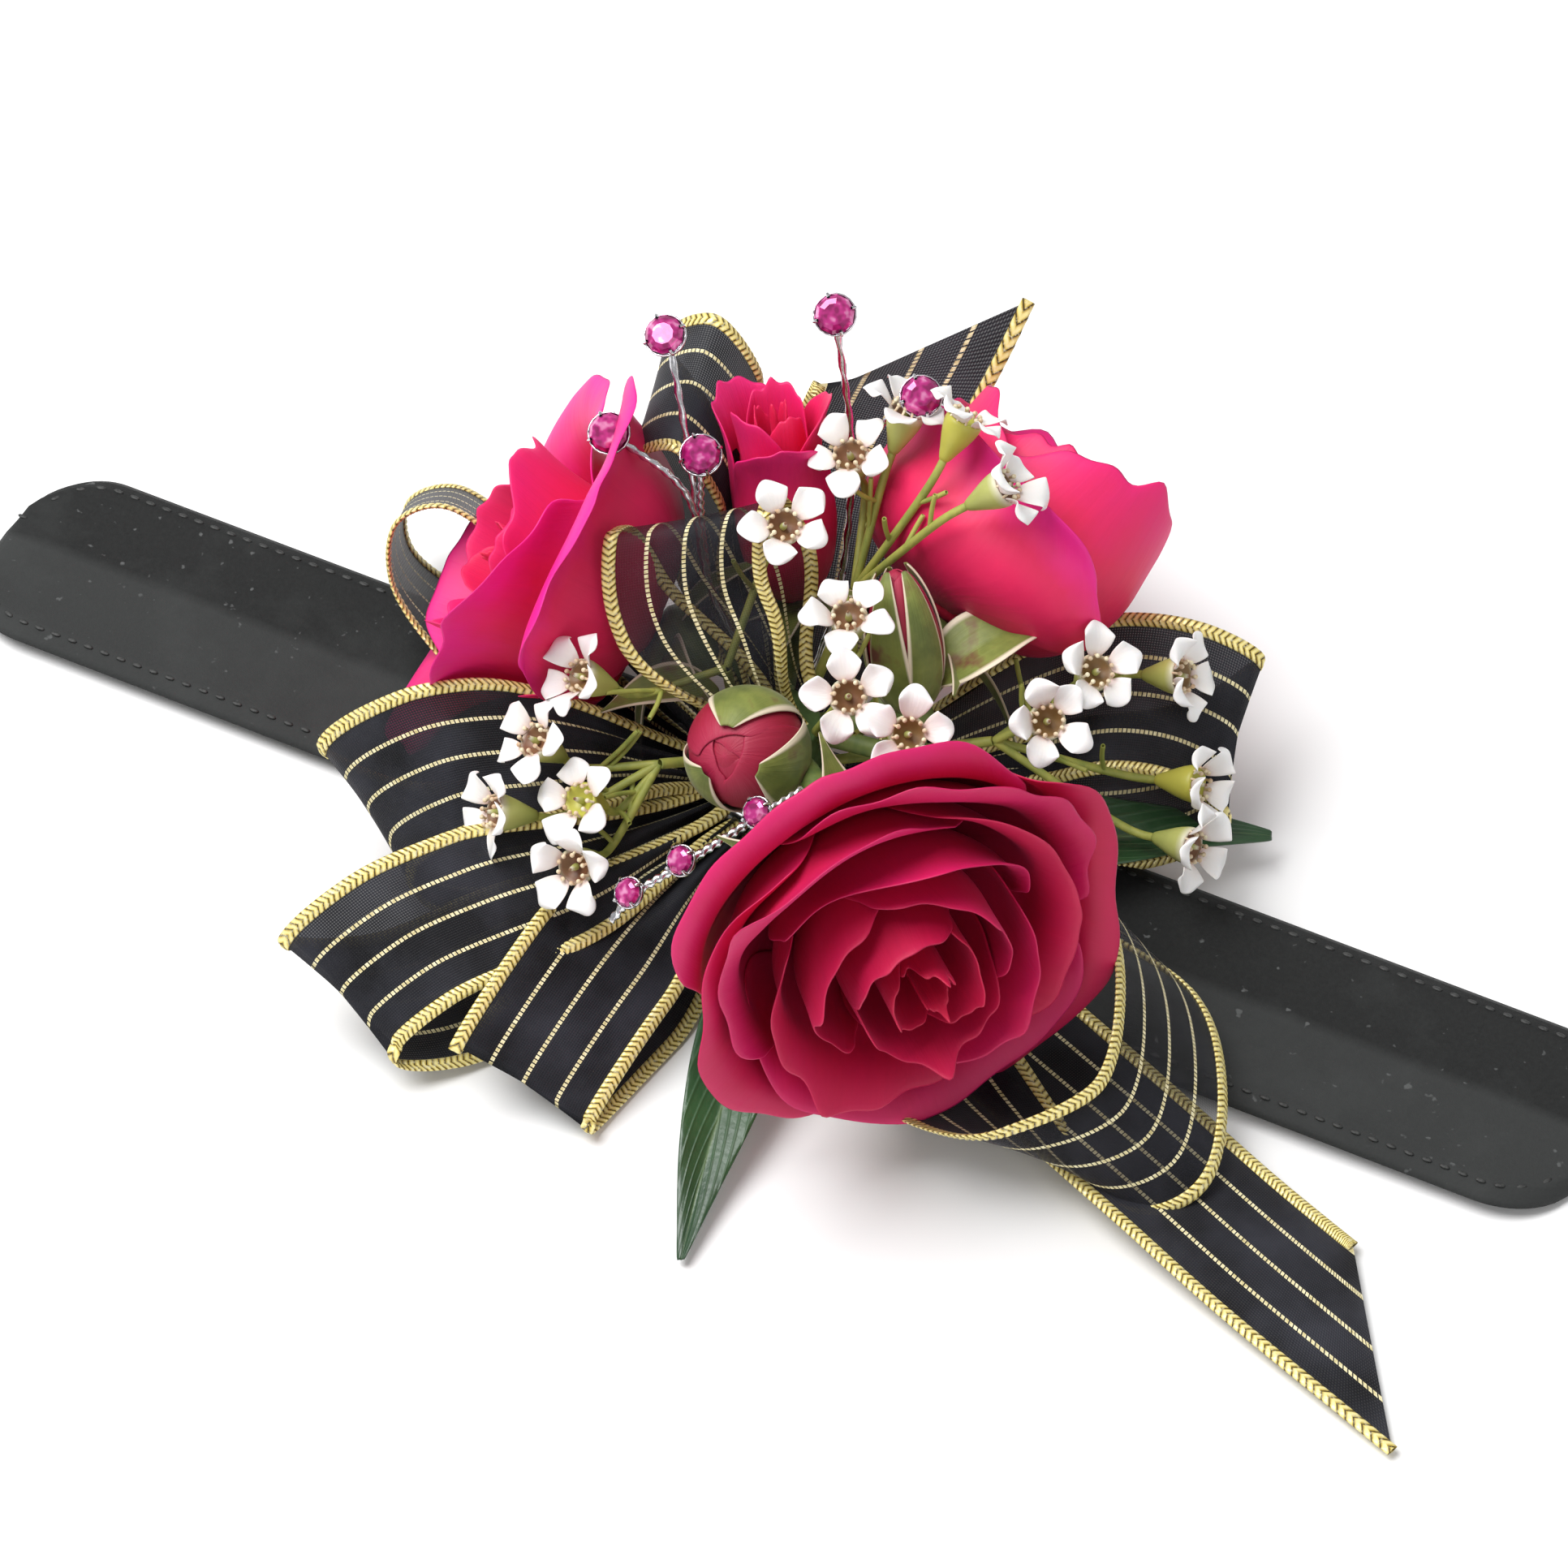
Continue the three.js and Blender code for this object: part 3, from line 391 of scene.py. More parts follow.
WAX_PETAL = wax_petal_material()
WAX_CUP = wax_cup_material()
STAMEN = speckled_material(
    "waxflower_stamen", 900.0, [(0.35, (0.55, 0.36, 0.22)), (0.65, (0.85, 0.78, 0.55))], Roughness=0.5,
)
print("waxflower materials:", WAX_PETAL.name, WAX_CUP.name, STAMEN.name)

# %% [markdown]
# The ribbon is sheer black organza. Fine threads show when it is close, three rows of gold stitches run
# along it, and a gold braid borders both edges. The pattern is laid out on the ribbon's UV map: the
# first coordinate runs across the ribbon and the second counts ribbon widths along it. Threads this fine
# are too many to model, so the alpha draws them. The braid stands up from the edge, so it is modelled.

# %% Ribbon materials
THREADS_PER_WIDTH = 60
STITCHES_PER_WIDTH = 32
STITCH_SHARE = 0.75
STRIPE_SPACES = 4.0
STRIPE_HALF_WIDTH = 0.055
BORDER_START = 0.455
BRAID_SLOPE = 0.7
SHEER_COVER = 0.52
DENSE_COVER = 0.98


def organza_material():
    """Organza that is sheer where the piece's shade is 0 and dense where it is 1."""
    material, uv, place = start_material("organza")
    across = uv.axis(0)
    along = uv.axis(1)
    from_centre = across.from_middle()
    from_stripe = (across * STRIPE_SPACES + 0.5).maths("FRACT").from_middle()
    stripe = from_stripe.maths("LESS_THAN", STRIPE_HALF_WIDTH) * from_centre.maths("LESS_THAN", 0.4)
    stitch = (along * STITCHES_PER_WIDTH).maths("FRACT").maths("LESS_THAN", STITCH_SHARE)
    gold = (stripe * stitch).maths("MAXIMUM", from_centre.maths("GREATER_THAN", BORDER_START))
    warp = (across * (2 * math.pi * THREADS_PER_WIDTH)).maths("SINE")
    weft = (along * (2 * math.pi * THREADS_PER_WIDTH)).maths("SINE")
    weave = (warp + weft) * 0.25
    # Near-black cloth; its lighter blue-grey patches are a painted sheen.
    cloth_and_painted_sheen = place.noise(90.0).ramp((0.35, (0.008, 0.008, 0.010)), (0.7, (0.030, 0.031, 0.040)))
    thread = place.noise(1500.0).ramp((0.3, (0.58, 0.49, 0.22)), (0.7, (0.92, 0.86, 0.58)))
    cover = shade_of(material) * (DENSE_COVER - SHEER_COVER) + SHEER_COVER
    threads = (weave * 0.2).maths("ADD", cover, clamp=True)
    return end_material(
        material, Base_Color=gold.mix(cloth_and_painted_sheen, thread), Roughness=0.45, Alpha=threads.maths("MAXIMUM", gold),
        Normal=(weave + gold * 3.0).bump(0.06, 0.7), Specular_IOR_Level=0.18,
        Sheen_Weight=0.03, Sheen_Roughness=0.35, Sheen_Tint=(0.8, 0.8, 0.9, 1.0),
    )


def gold_braid_material():
    material, uv, place = start_material("gold_cord")
    turn = (uv.axis(0) * (2 * math.pi)).maths("COSINE")
    lay = uv.axis(1) - abs(turn) * BRAID_SLOPE
    strand = abs((lay * math.pi).maths("SINE"))
    # The braid's near-black gaps are painted shade between the strands and its pale crests are painted
    # highlight; the glints below are painted highlights too.
    colour = strand.ramp((0.15, (0.05, 0.03, 0.006)), (0.5, (0.62, 0.45, 0.08)), (0.95, (0.96, 0.84, 0.34)))
    glint = place.noise(2200.0).ramp((0.5, grey(0)), (0.7, grey(0.6)))
    return end_material(
        material, Base_Color=glint.mix(colour, (0.98, 0.93, 0.62)), Roughness=0.35, Metallic=0.2,
        Normal=strand.bump(0.15, 0.6),
    )


ORGANZA = organza_material()
GOLD_BRAID = gold_braid_material()
print("ribbon materials:", ORGANZA.name, GOLD_BRAID.name)

# %% [markdown]
# The band's sleeve is soft charcoal cloth. It picks up pale lint and smudges, and it is painted lighter on
# the rim, a painted sheen where the curved edge catches the light. Its sewing thread is a dull grey-black.
# The strip and the wires are metal, the pad is felt, and the stones are pink glass. Clear glass needs many
# bounces of light before it sparkles, so the stones are part metal under a clear coat instead.

# %% Band, wire and gem materials


def sleeve_material():
    material, uv, place = start_material("band_sleeve")
    nap = place.noise(1800.0, 4.0, 0.7)
    smudge = place.noise(42.0, 5.0, 0.65).ramp((0.5, grey(0)), (0.78, grey(0.5)))
    lint = place.noise(650.0, 2.0, 0.5).ramp((0.70, grey(0)), (0.76, grey(0.75)))
    # The lighter rim is a painted sheen, where the curved edge catches the light.
    rim = uv.axis(0).from_middle().ramp((0.43, grey(0)), (0.49, grey(0.35)))
    base = nap.ramp((0.25, (0.005, 0.0055, 0.0055)), (0.75, (0.0125, 0.0135, 0.0132)))
    smudged = smudge.mix(base, (0.045, 0.049, 0.048))
    linted = lint.mix(smudged, (0.12, 0.125, 0.125))
    return end_material(
        material, Base_Color=rim.mix(linted, (0.06, 0.064, 0.063)), Roughness=0.8, Specular_IOR_Level=0.35,
        Normal=nap.bump(0.12, 0.8), Sheen_Weight=0.05, Sheen_Roughness=0.5,
    )


def metal_material(name, light, dark, roughness):
    material, _, place = start_material(name)
    brushed = place.stretched((300.0, 2500.0, 2500.0)).noise(1.0)
    colour = brushed.ramp((0.3, dark), (0.7, light))
    return end_material(material, Base_Color=colour, Roughness=brushed * 0.15 + roughness, Metallic=1.0)


def felt_material():
    material, _, place = start_material("felt")
    fuzz = place.noise(2200.0, 5.0, 0.7)
    colour = fuzz.ramp((0.3, (0.006, 0.006, 0.007)), (0.7, (0.024, 0.024, 0.026)))
    return end_material(material, Base_Color=colour, Roughness=0.95, Normal=fuzz.bump(0.2), Sheen_Weight=0.25)


SLEEVE = sleeve_material()
THREAD = speckled_material(
    "sewing_thread", 2500.0, [(0.3, (0.012, 0.012, 0.012)), (0.7, (0.05, 0.052, 0.05))], Roughness=0.6,
)
STEEL = metal_material("spring_steel", (0.62, 0.63, 0.65), (0.42, 0.43, 0.45), 0.28)
SILVER = metal_material("silver_wire", (0.86, 0.86, 0.88), (0.62, 0.62, 0.66), 0.12)
FELT = felt_material()
# The dark and pale pink blotches of the stones are painted facet reflections on their pink.
GEM = speckled_material(
    "gem", 900.0, [(0.35, (0.30, 0.01, 0.12)), (0.55, (0.60, 0.03, 0.26)), (0.75, (0.90, 0.35, 0.62))],
    detail=1.0, Roughness=0.06, Metallic=0.35, Coat_Weight=1.0, Coat_Roughness=0.03,
)
print("materials:", len(bpy.data.materials))

# %% [markdown]
# ## Shapes
# Petals, leaves, ribbon and tubes are all thin and curved. Each could be a plane that is cut and pushed
# by hand, but there are hundreds of them. So each is a grid whose points are moved to a surface, and a
# formula gives the surface. First come two ways to blend numbers, and an empty mesh with its layers.

# %% Numbers and an empty mesh


def lerp(a, b, t):
    return a + (b - a) * t


def smoothstep(low, high, value):
    t = min(max((value - low) / (high - low), 0.0), 1.0)
    return t * t * (3 - 2 * t)


def new_shape():
    bm = bmesh.new()
    bm.loops.layers.uv.new("UVMap")
    bm.verts.layers.float.new("shade")
    return bm


def smooth_faces(verts, material):
    """The faces at these points, given a material and smooth shading."""
    faces = {face for vert in verts for face in vert.link_faces}
    for face in faces:
        face.material_index = material
        face.smooth = True
    return faces


# %% [markdown]
# A grid gets its UV map while it is still flat, so the map follows it on to the surface. Spin could make
# the round shapes, but a grid that is rolled into a tube has its UV map from the start. Routes, radii,
# profiles and thicknesses are given in millimetres.

# %% Grids and turned shapes


def grow_grid(bm, surface, across, along, material=0, shade=0.0, uv_scale=(1.0, 1.0), seam=False):
    """A grid laid on surface(u, v), u from -1 to 1 and v from 0 to 1. The shade is a number or a function
    of u and v, and a seam joins the two sides of a tube."""
    verts = bmesh.ops.create_grid(bm, x_segments=across, y_segments=along, size=1)["verts"]
    uv_layer = bm.loops.layers.uv["UVMap"]
    shade_layer = bm.verts.layers.float["shade"]
    flat = {vert: (vert.co.x, 0.5 * (vert.co.y + 1)) for vert in verts}
    for face in smooth_faces(verts, material):
        for loop in face.loops:
            u, v = flat[loop.vert]
            loop[uv_layer].uv = (0.5 * (u + 1) * uv_scale[0], v * uv_scale[1])
    for vert, (u, v) in flat.items():
        vert.co = surface(u, v)
        vert[shade_layer] = shade(u, v) if callable(shade) else shade
    if seam:
        bmesh.ops.remove_doubles(bm, verts=verts, dist=1e-6)


def grow_turned(bm, profile, sides, place, scale=(1, 1), material=0, shade=0.0):
    """A surface of revolution about Z through (radius, height) points, scaled and stood in its place."""
    steps = len(profile) - 1

    def surface(u, v):
        out, up = profile[min(int(round(v * steps)), steps)]
        radius = out * scale[0] * MM
        angle = math.pi * u
        return place @ Vector((radius * math.cos(angle), radius * math.sin(angle), up * scale[1] * MM))

    grow_grid(bm, surface, sides, steps, material, shade, seam=True)


# %% [markdown]
# Stems, wires and ribbon follow routes. A curve object could carry them, but its points are not spaced by
# length. This route passes through each of its points, and gives the place at any share of its length.

# %% Routes


class Route:
    """A smooth path through a few points, measured by its length."""

    SAMPLES = 24

    def __init__(self, points):
        stops = [Vector(p) * MM for p in points]
        ends = [2 * stops[0] - stops[1], *stops, 2 * stops[-1] - stops[-2]]
        self.points = [stops[0]]
        for four in zip(ends, ends[1:], ends[2:], ends[3:]):
            self.points.extend(self.span(*four))
        self.marks = [0.0]
        for a, b in zip(self.points, self.points[1:]):
            self.marks.append(self.marks[-1] + (b - a).length)
        self.length = self.marks[-1]

    def span(self, before, start, end, after):
        gaps = ((before, start), (start, end), (end, after))
        lead, run, trail = [max(math.sqrt((q - p).length), 1e-5) for p, q in gaps]
        leaving = ((start - before) / lead - (end - before) / (lead + run) + (end - start) / run) * run
        arriving = ((end - start) / run - (after - start) / (run + trail) + (after - end) / trail) * run
        for k in range(1, self.SAMPLES + 1):
            t = k / self.SAMPLES
            yield (
                (2 * t**3 - 3 * t**2 + 1) * start + (t**3 - 2 * t**2 + t) * leaving
                + (3 * t**2 - 2 * t**3) * end + (t**3 - t**2) * arriving
            )

    def at(self, share):
        """The point and the heading at a share of the length."""
        target = min(max(share, 0.0), 1.0) * self.length
        k = 1
        while k < len(self.marks) - 1 and self.marks[k] < target:
            k += 1
        a, b = self.points[k - 1], self.points[k]
        step = max(self.marks[k] - self.marks[k - 1], 1e-9)
        return a.lerp(b, (target - self.marks[k - 1]) / step), self.heading(k)

    def heading(self, k):
        low, high = max(k - 2, 0), min(k + 1, len(self.points) - 1)
        return (self.points[high] - self.points[low]).normalized()


print("a straight 10 mm route measures %.1f mm" % (Route([(0, 0, 0), (5, 0, 0), (10, 0, 0)]).length / MM))

# %% [markdown]
# A tube is a grid rolled round a route, with its seam merged. A curve with a bevel gives a round wire too,
# but not the two twisted strands of the gem wires. A blade is a small leaf on a route.

# %% Tubes and blades


def grow_tube(bm, points, radius, sides=8, steps=16, material=0, twist=0.0, lobes=0.0):
    """A round tube along a route. With lobes it is a two-strand rope that turns twist times in its length."""
    route = Route(points)
    radius *= MM

    def surface(u, v):
        place, heading = route.at(v)
        guide = Vector((0, 0, 1)) if abs(heading.z) < 0.9 else Vector((1, 0, 0))
        side = heading.cross(guide).normalized()
        rise = side.cross(heading)
        angle = math.pi * u
        swell = radius * (1 + lobes * math.cos(2 * (angle - math.pi * twist * v)))
        return place + swell * (math.cos(angle) * side + math.sin(angle) * rise)

    grow_grid(bm, surface, sides, steps, material, uv_scale=(1.0, route.length / (2 * radius)), seam=True)
    return route


def blade(bm, route, width, material):
    """A small leaf along a route, folded along its middle, with its face turned up."""
    path = Route(route)

    def surface(u, v):
        place, heading = path.at(v)
        side = heading.cross(Vector((0, 0, 1))).normalized()
        half = 0.5 * width * (0.2 + math.sin(math.pi * v**0.8)) * (1 - 0.75 * v**3)
        return place + (u * half * side + 0.3 * abs(u) * half * side.cross(heading)) * MM

    grow_grid(bm, surface, 8, 14, material=material)


# %% [markdown]
# A flower is easier to shape upright about the origin. Its place is then applied to its points and not to
# the object, so that the object stays at the origin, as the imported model's nodes do.

# %% Finished pieces


def stand(base, axis, roll=0.0):
    """The place of a shape that was made about +Z and stands at a base point along an axis."""
    turn = Vector((0, 0, 1)).rotation_difference(Vector(axis).normalized())
    return Matrix.Translation(Vector(base) * MM) @ (turn @ Quaternion((0, 0, 1), roll)).to_matrix().to_4x4()


def finish_piece(name, bm, materials, thickness=0.0, subdivisions=0):
    """The finished object, with its thickness and its subdivision as modifiers."""
    mesh = bpy.data.meshes.new(name)
    bm.to_mesh(mesh)
    bm.free()
    piece = bpy.data.objects.new(name, mesh)
    bpy.context.collection.objects.link(piece)
    for material in materials:
        mesh.materials.append(material)
    if thickness:
        solidify = piece.modifiers.new("thickness", "SOLIDIFY")
        solidify.thickness = thickness * MM
        solidify.offset = 0
    if subdivisions:
        subsurf = piece.modifiers.new("smooth", "SUBSURF")
        subsurf.levels = subdivisions
        subsurf.render_levels = subdivisions
    return piece


def place_piece(piece, node):
    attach(piece, "centre")
    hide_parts(node)
    print("made %s for %s" % (piece.name, node))


# %% [markdown]
# ## Band
# A slap band is one sprung steel strip in a sewn sleeve: straight and slightly troughed, or curled up
# round a wrist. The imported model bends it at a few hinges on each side, so the sleeve is made in
# pieces that each bend across one hinge and meet in the middle of a section, where both are still.
# An armature could bend one long mesh, but the frame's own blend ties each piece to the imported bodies.

# %% Band sizes
BAND_LENGTH = 228
BAND_WIDTH = 30
BAND_CORNER = 11
CENTRE_LENGTH = 48
SECTIONS = 4
SECTION = (BAND_LENGTH - CENTRE_LENGTH) / (2 * SECTIONS)
SLEEVE_THICKNESS = 2.5
WELT_WIDTH = 1.6
WELT_THICKNESS = 1.5
EDGE_ROUNDING = 0.9
END_ROUNDING = 1.2
FLAT_WIDTH = 10
TROUGH_RADIUS = 30
STITCH_PITCH = 2.4
STITCH_INSET = 2.3
STITCH_SIZE = (0.75, 0.32, 0.14)
STRIP_INSET = 2.5
STRIP_LEVEL = 1.25
STRIP_THICKNESS = 0.3
BEND_REACH = 5
GRID_STEP = 1.6
END_GRID_STEP = 0.9


# %% [markdown]
# The sleeve's section is a flat tube with a thinner welt along each edge. It could be a bevelled box, but
# the trough, the welts and the rounded ends all change the section, so a formula gives each point.

# %% Section of the band


def edge_rise(y):
    return max(0.0, abs(y) - FLAT_WIDTH / 2) ** 2 / (2 * TROUGH_RADIUS)


def half_width(x, inset=0.0):
    """Half the band's width at a place along it, rounded off at the ends."""
    radius = BAND_CORNER - inset
    past = max(0.0, abs(x) - (BAND_LENGTH / 2 - BAND_CORNER))
    past = min(past, radius)
    return BAND_WIDTH / 2 - inset - radius + math.sqrt(max(radius**2 - past**2, 0.0))


def sleeve_point(x, turn):
    """A point of the sleeve's skin: turn runs once round its section, from the middle of the underside."""
    half = half_width(x)
    end = smoothstep(BAND_LENGTH / 2, BAND_LENGTH / 2 - END_ROUNDING, abs(x))
    quarter = turn * 4
    if quarter < 1:
        y, top = half * quarter, 0.0
    elif quarter < 3:
        y, top = half * (2 - quarter), 1.0
    else:
        y, top = half * (quarter - 4), 0.0
    from_edge = half - abs(y)
    body = smoothstep(0.7 * WELT_WIDTH, 1.5 * WELT_WIDTH, from_edge)
    rounding = math.sqrt(min(from_edge / EDGE_ROUNDING, 1.0))
    thickness = lerp(WELT_THICKNESS, SLEEVE_THICKNESS, body)
    thickness = thickness * lerp(0.45, 1.0, rounding) * lerp(0.5, 1.0, end)
    lift = edge_rise(y) + (0.5 * (1 - rounding) + 0.4 * (1 - end)) * (1 - top)
    return Vector((x, y, lift + top * thickness)) * MM


print("the edges of the band rise by %.1f mm" % edge_rise(BAND_WIDTH / 2))

# %% [markdown]
# A row of stitches runs just inside each welt. A bump in the material would not show from the side, so
# each stitch is a small flattened ball.

# %% Stitches


def band_span(side, n):
    """Where piece n of a side starts and ends: the middles of the sections that its hinge joins."""
    hinge = CENTRE_LENGTH / 2 + (n - 1) * SECTION
    start = 0.0 if n == 1 else hinge - SECTION / 2
    end = BAND_LENGTH / 2 if n == SECTIONS else hinge + SECTION / 2
    return side * start, side * end, side * hinge


def stitches(bm, start, end):
    """A row of short raised stitches along each edge, and round the rounded end."""
    size = Matrix.Diagonal((*[MM * c for c in STITCH_SIZE], 1))
    low, high = sorted((start, end))
    count = int((high - low) / STITCH_PITCH)
    for k in range(count):
        x = low + (k + 0.5) * (high - low) / count
        for edge in (-1, 1):
            y = edge * half_width(x, STITCH_INSET)
            ahead = edge * half_width(x + 0.5, STITCH_INSET) - y
            heading = Vector((0.5, ahead, 0)).normalized()
            level = edge_rise(y) + SLEEVE_THICKNESS - 0.02
            place = Matrix.Translation(Vector((x, y, level)) * MM)
            turn = Vector((1, 0, 0)).rotation_difference(heading).to_matrix().to_4x4()
            stitch = place @ turn @ size
            made = bmesh.ops.create_uvsphere(bm, u_segments=8, v_segments=5, radius=1, matrix=stitch)
            smooth_faces(made["verts"], material=1)


# %% [markdown]
# Each piece is one grid. The sleeve's grid is rolled shut, and its normals are recalculated because the
# left pieces run backwards. The strip's grid stays open and gets its thickness from a modifier.

# %% Sleeve and strip


def band_piece(side, label, n):
    start, end, hinge = band_span(side, n)
    bm = new_shape()
    steps = int(abs(end - start) / (END_GRID_STEP if n == SECTIONS else GRID_STEP))
    uv_along = abs(end - start) / BAND_WIDTH

    def surface(u, v):
        return sleeve_point(lerp(start, end, v), 0.5 * (u + 1))

    grow_grid(bm, surface, 72, steps, uv_scale=(2.0, uv_along), seam=True)
    stitches(bm, start, end)
    bmesh.ops.recalc_face_normals(bm, faces=bm.faces)
    return finish_piece("band_sleeve_%s_%d" % (label, n), bm, [SLEEVE, THREAD]), hinge


def strip_piece(side, label, n):
    start, end, hinge = band_span(side, n)
    if n == SECTIONS:
        end -= side * STRIP_INSET
    bm = new_shape()

    def surface(u, v):
        x = lerp(start, end, v)
        y = u * half_width(x, STRIP_INSET)
        return Vector((x, y, STRIP_LEVEL + edge_rise(y))) * MM

    grow_grid(bm, surface, 16, int(abs(end - start) / GRID_STEP))
    return finish_piece("spring_strip_%s_%d" % (label, n), bm, [STEEL], STRIP_THICKNESS), hinge


# %% [markdown]
# Each piece is blended over a few millimetres, from the body before its hinge to the body after it. A
# sharp change there would crease the cloth.

# %% Band on its bodies
BAND_LAYERS = ((band_piece, "sleeve", "band_sleeve"), (strip_piece, "spring_strip", "spring_steel"))
for side, label in ((-1, "left"), (1, "right")):
    for n in range(1, SECTIONS + 1):
        inner = "centre" if n == 1 else "%s_%d" % (label, n - 1)
        outer = "%s_%d" % (label, n)
        for make, node, slot in BAND_LAYERS:
            piece, hinge = make(side, label, n)
            before = Vector((hinge - side * BEND_REACH, 0, 0)) * MM
            after = Vector((hinge + side * BEND_REACH, 0, 0)) * MM
            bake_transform(piece, inner, outer, start=before, end=after)
            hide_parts("%s_%s" % (node, outer))
            if n == 1 and side == -1:
                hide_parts("%s_centre" % node)
    print("band bends at", label, "over", SECTIONS, "hinges")

# %% [markdown]
# ## Foundation
# Under the flowers, a felt pad is glued into the trough of the band, and the stems are bound into one
# core with green tape. A turn of wire pinches the ribbon to the core. Little of this shows from above,
# but it does between the loops and from behind. The laps of the tape are small steps in the core's
# profile, because a bump would not show on its outline.

# %% Felt pad, stem core and bow wire
PAD_LENGTH = 40
PAD_WIDTH = 18
PAD_LEVEL = 2.8
PAD_THICKNESS = 2.0
PAD_SQUARENESS = 0.25
CORE_LEVEL = 5.1
CORE_HEIGHT = 19
CORE_RADIUS = 7
CORE_RINGS = 60
TAPE_TURNS = 9
TAPE_LAP = 0.25
COIL_TURNS = 1.8
COIL_RADIUS = 7.8
COIL_LEVEL = 9.85
COIL_RISE = 3.2
COIL_STEPS = 40


def pad_surface(u, v):
    """Round the pad's section and along it, with rounded edges."""
    x = PAD_LENGTH * (v - 0.5)
    circle = (math.cos(math.pi * u), math.sin(math.pi * u))
    across, up = [math.copysign(abs(c) ** PAD_SQUARENESS, c) for c in circle]
    end = min(1.0, 0.5 * PAD_LENGTH - abs(x))
    y = 0.5 * PAD_WIDTH * across
    top = PAD_LEVEL + PAD_THICKNESS
    under = PAD_LEVEL + edge_rise(y)
    level = lerp(0.5 * (top + under), top if up > 0 else under, abs(up) * end)
    return Vector((x, y * lerp(0.9, 1.0, end), level)) * MM


bm = new_shape()
grow_grid(bm, pad_surface, 40, 24, seam=True)
place_piece(finish_piece("felt_pad_soft", bm, [FELT]), "felt_pad")

bm = new_shape()
core_profile = [(0.0, CORE_LEVEL)]
for k in range(CORE_RINGS + 1):
    t = k / CORE_RINGS
    waist = lerp(lerp(1.25, 0.9, smoothstep(0, 0.22, t)), 0.8, smoothstep(0.5, 1, t))
    lap = TAPE_LAP * ((t * TAPE_TURNS) % 1.0)
    core_profile.append((waist * CORE_RADIUS + lap - 0.2, CORE_LEVEL + t * CORE_HEIGHT))
core_profile.append((0.0, CORE_LEVEL + CORE_HEIGHT))
grow_turned(bm, core_profile, 28, Matrix.Identity(4))
place_piece(finish_piece("stem_core_taped", bm, [TAPE]), "taped_stem_core")

bm = new_shape()
coil = []
for k in range(COIL_STEPS + 1):
    angle = 2 * COIL_TURNS * math.pi * k / COIL_STEPS
    level = COIL_LEVEL + COIL_RISE * k / COIL_STEPS
    coil.append((COIL_RADIUS * math.cos(angle), COIL_RADIUS * math.sin(angle), level))
grow_tube(bm, coil, 0.5, steps=120)
place_piece(finish_piece("bow_wire_coil", bm, [STEEL]), "bow_wire")

# %% [markdown]
# ## Roses
# A rose is a spiral of petals: each new petal stands about 137 degrees round from the last, so the gaps
# never line up. The heart petals are small, upright and wrapped round each other. Further out they are
# wider and lower, open up, and roll back at the rim. The front rose is fully open, and the left and
# right ones are half open, so their outer petals still stand up like a cup. A narrow one stands behind
# them, half hidden. Petals could be sculpted one by one, but one formula with a few shares gives them all.

# %% One petal
GOLDEN_ANGLE = math.pi * (3 - math.sqrt(5))


def bezier(points, t):
    a, b, c, d = points
    s = 1 - t
    return [s**3 * a[k] + 3 * s * s * t * b[k] + 3 * s * t * t * c[k] + t**3 * d[k] for k in (0, 1)]


def petal_surface(
    place, foot, reach, height, flare, curl, azimuth, half_angle, lap, waver, phase, tip, shoulder,
    roll_start,
):
    """One petal: a cupped profile from its foot, whose rim rolls outwards by the angle curl."""
    profile = [
        foot,
        (0.9 * reach, foot[1] + 0.02 * height),
        (reach, 0.55 * height),
        (reach * (1 + flare), height),
    ]
    neck = Vector(bezier(profile, roll_start))
    rim = Vector(profile[3])
    heading = (rim - neck).normalized()
    outward = Vector((heading.y, -heading.x))
    lip = (rim - neck).length / (1 - roll_start)

    def surface(u, v):
        top = 1 - shoulder * abs(u) ** 3 + tip * math.exp(-abs(u - 0.1 * math.sin(phase)) / 0.09)
        top += 0.5 * tip * abs(math.sin(4.5 * u + phase)) + 0.2 * tip * math.sin(17 * u)
        rise = v * top
        if rise < roll_start:
            radius, level = bezier(profile, rise)
        else:
            run = lip * (rise - roll_start)
            bend = max(curl, 0.05) * lerp(0.8, 1.2, abs(u)) / (lip * (1 - roll_start))
            ahead = heading * math.sin(bend * run) / bend
            aside = outward * (1 - math.cos(bend * run)) / bend
            radius, level = neck + ahead + aside
        narrowing = lerp(1.0, 1 - shoulder, smoothstep(0.6, 1.0, v) ** 2)
        width = lerp(0.45, 1.0, smoothstep(0.0, 0.55, v)) * narrowing
        angle = azimuth + u * half_angle * width
        sway = waver * v * v * math.sin(3.1 * u + phase)
        crinkle = 0.25 * waver * v * math.sin(9 * u - phase)
        radius += lap * u + sway + crinkle
        level += 0.8 * waver * v * v * math.sin(4.7 * u + 2 * phase)
        return place @ (Vector((radius * math.cos(angle), radius * math.sin(angle), level)) * MM)

    return surface


print("petals stand %.1f degrees apart" % math.degrees(GOLDEN_ANGLE))

# %% [markdown]
# A bloom grows from the heart outwards. Each value runs from its share in the heart to its share at the
# outside, with a little chance, so that neighbours differ. The chance has a seed, so every run is alike.

# %% A bloom


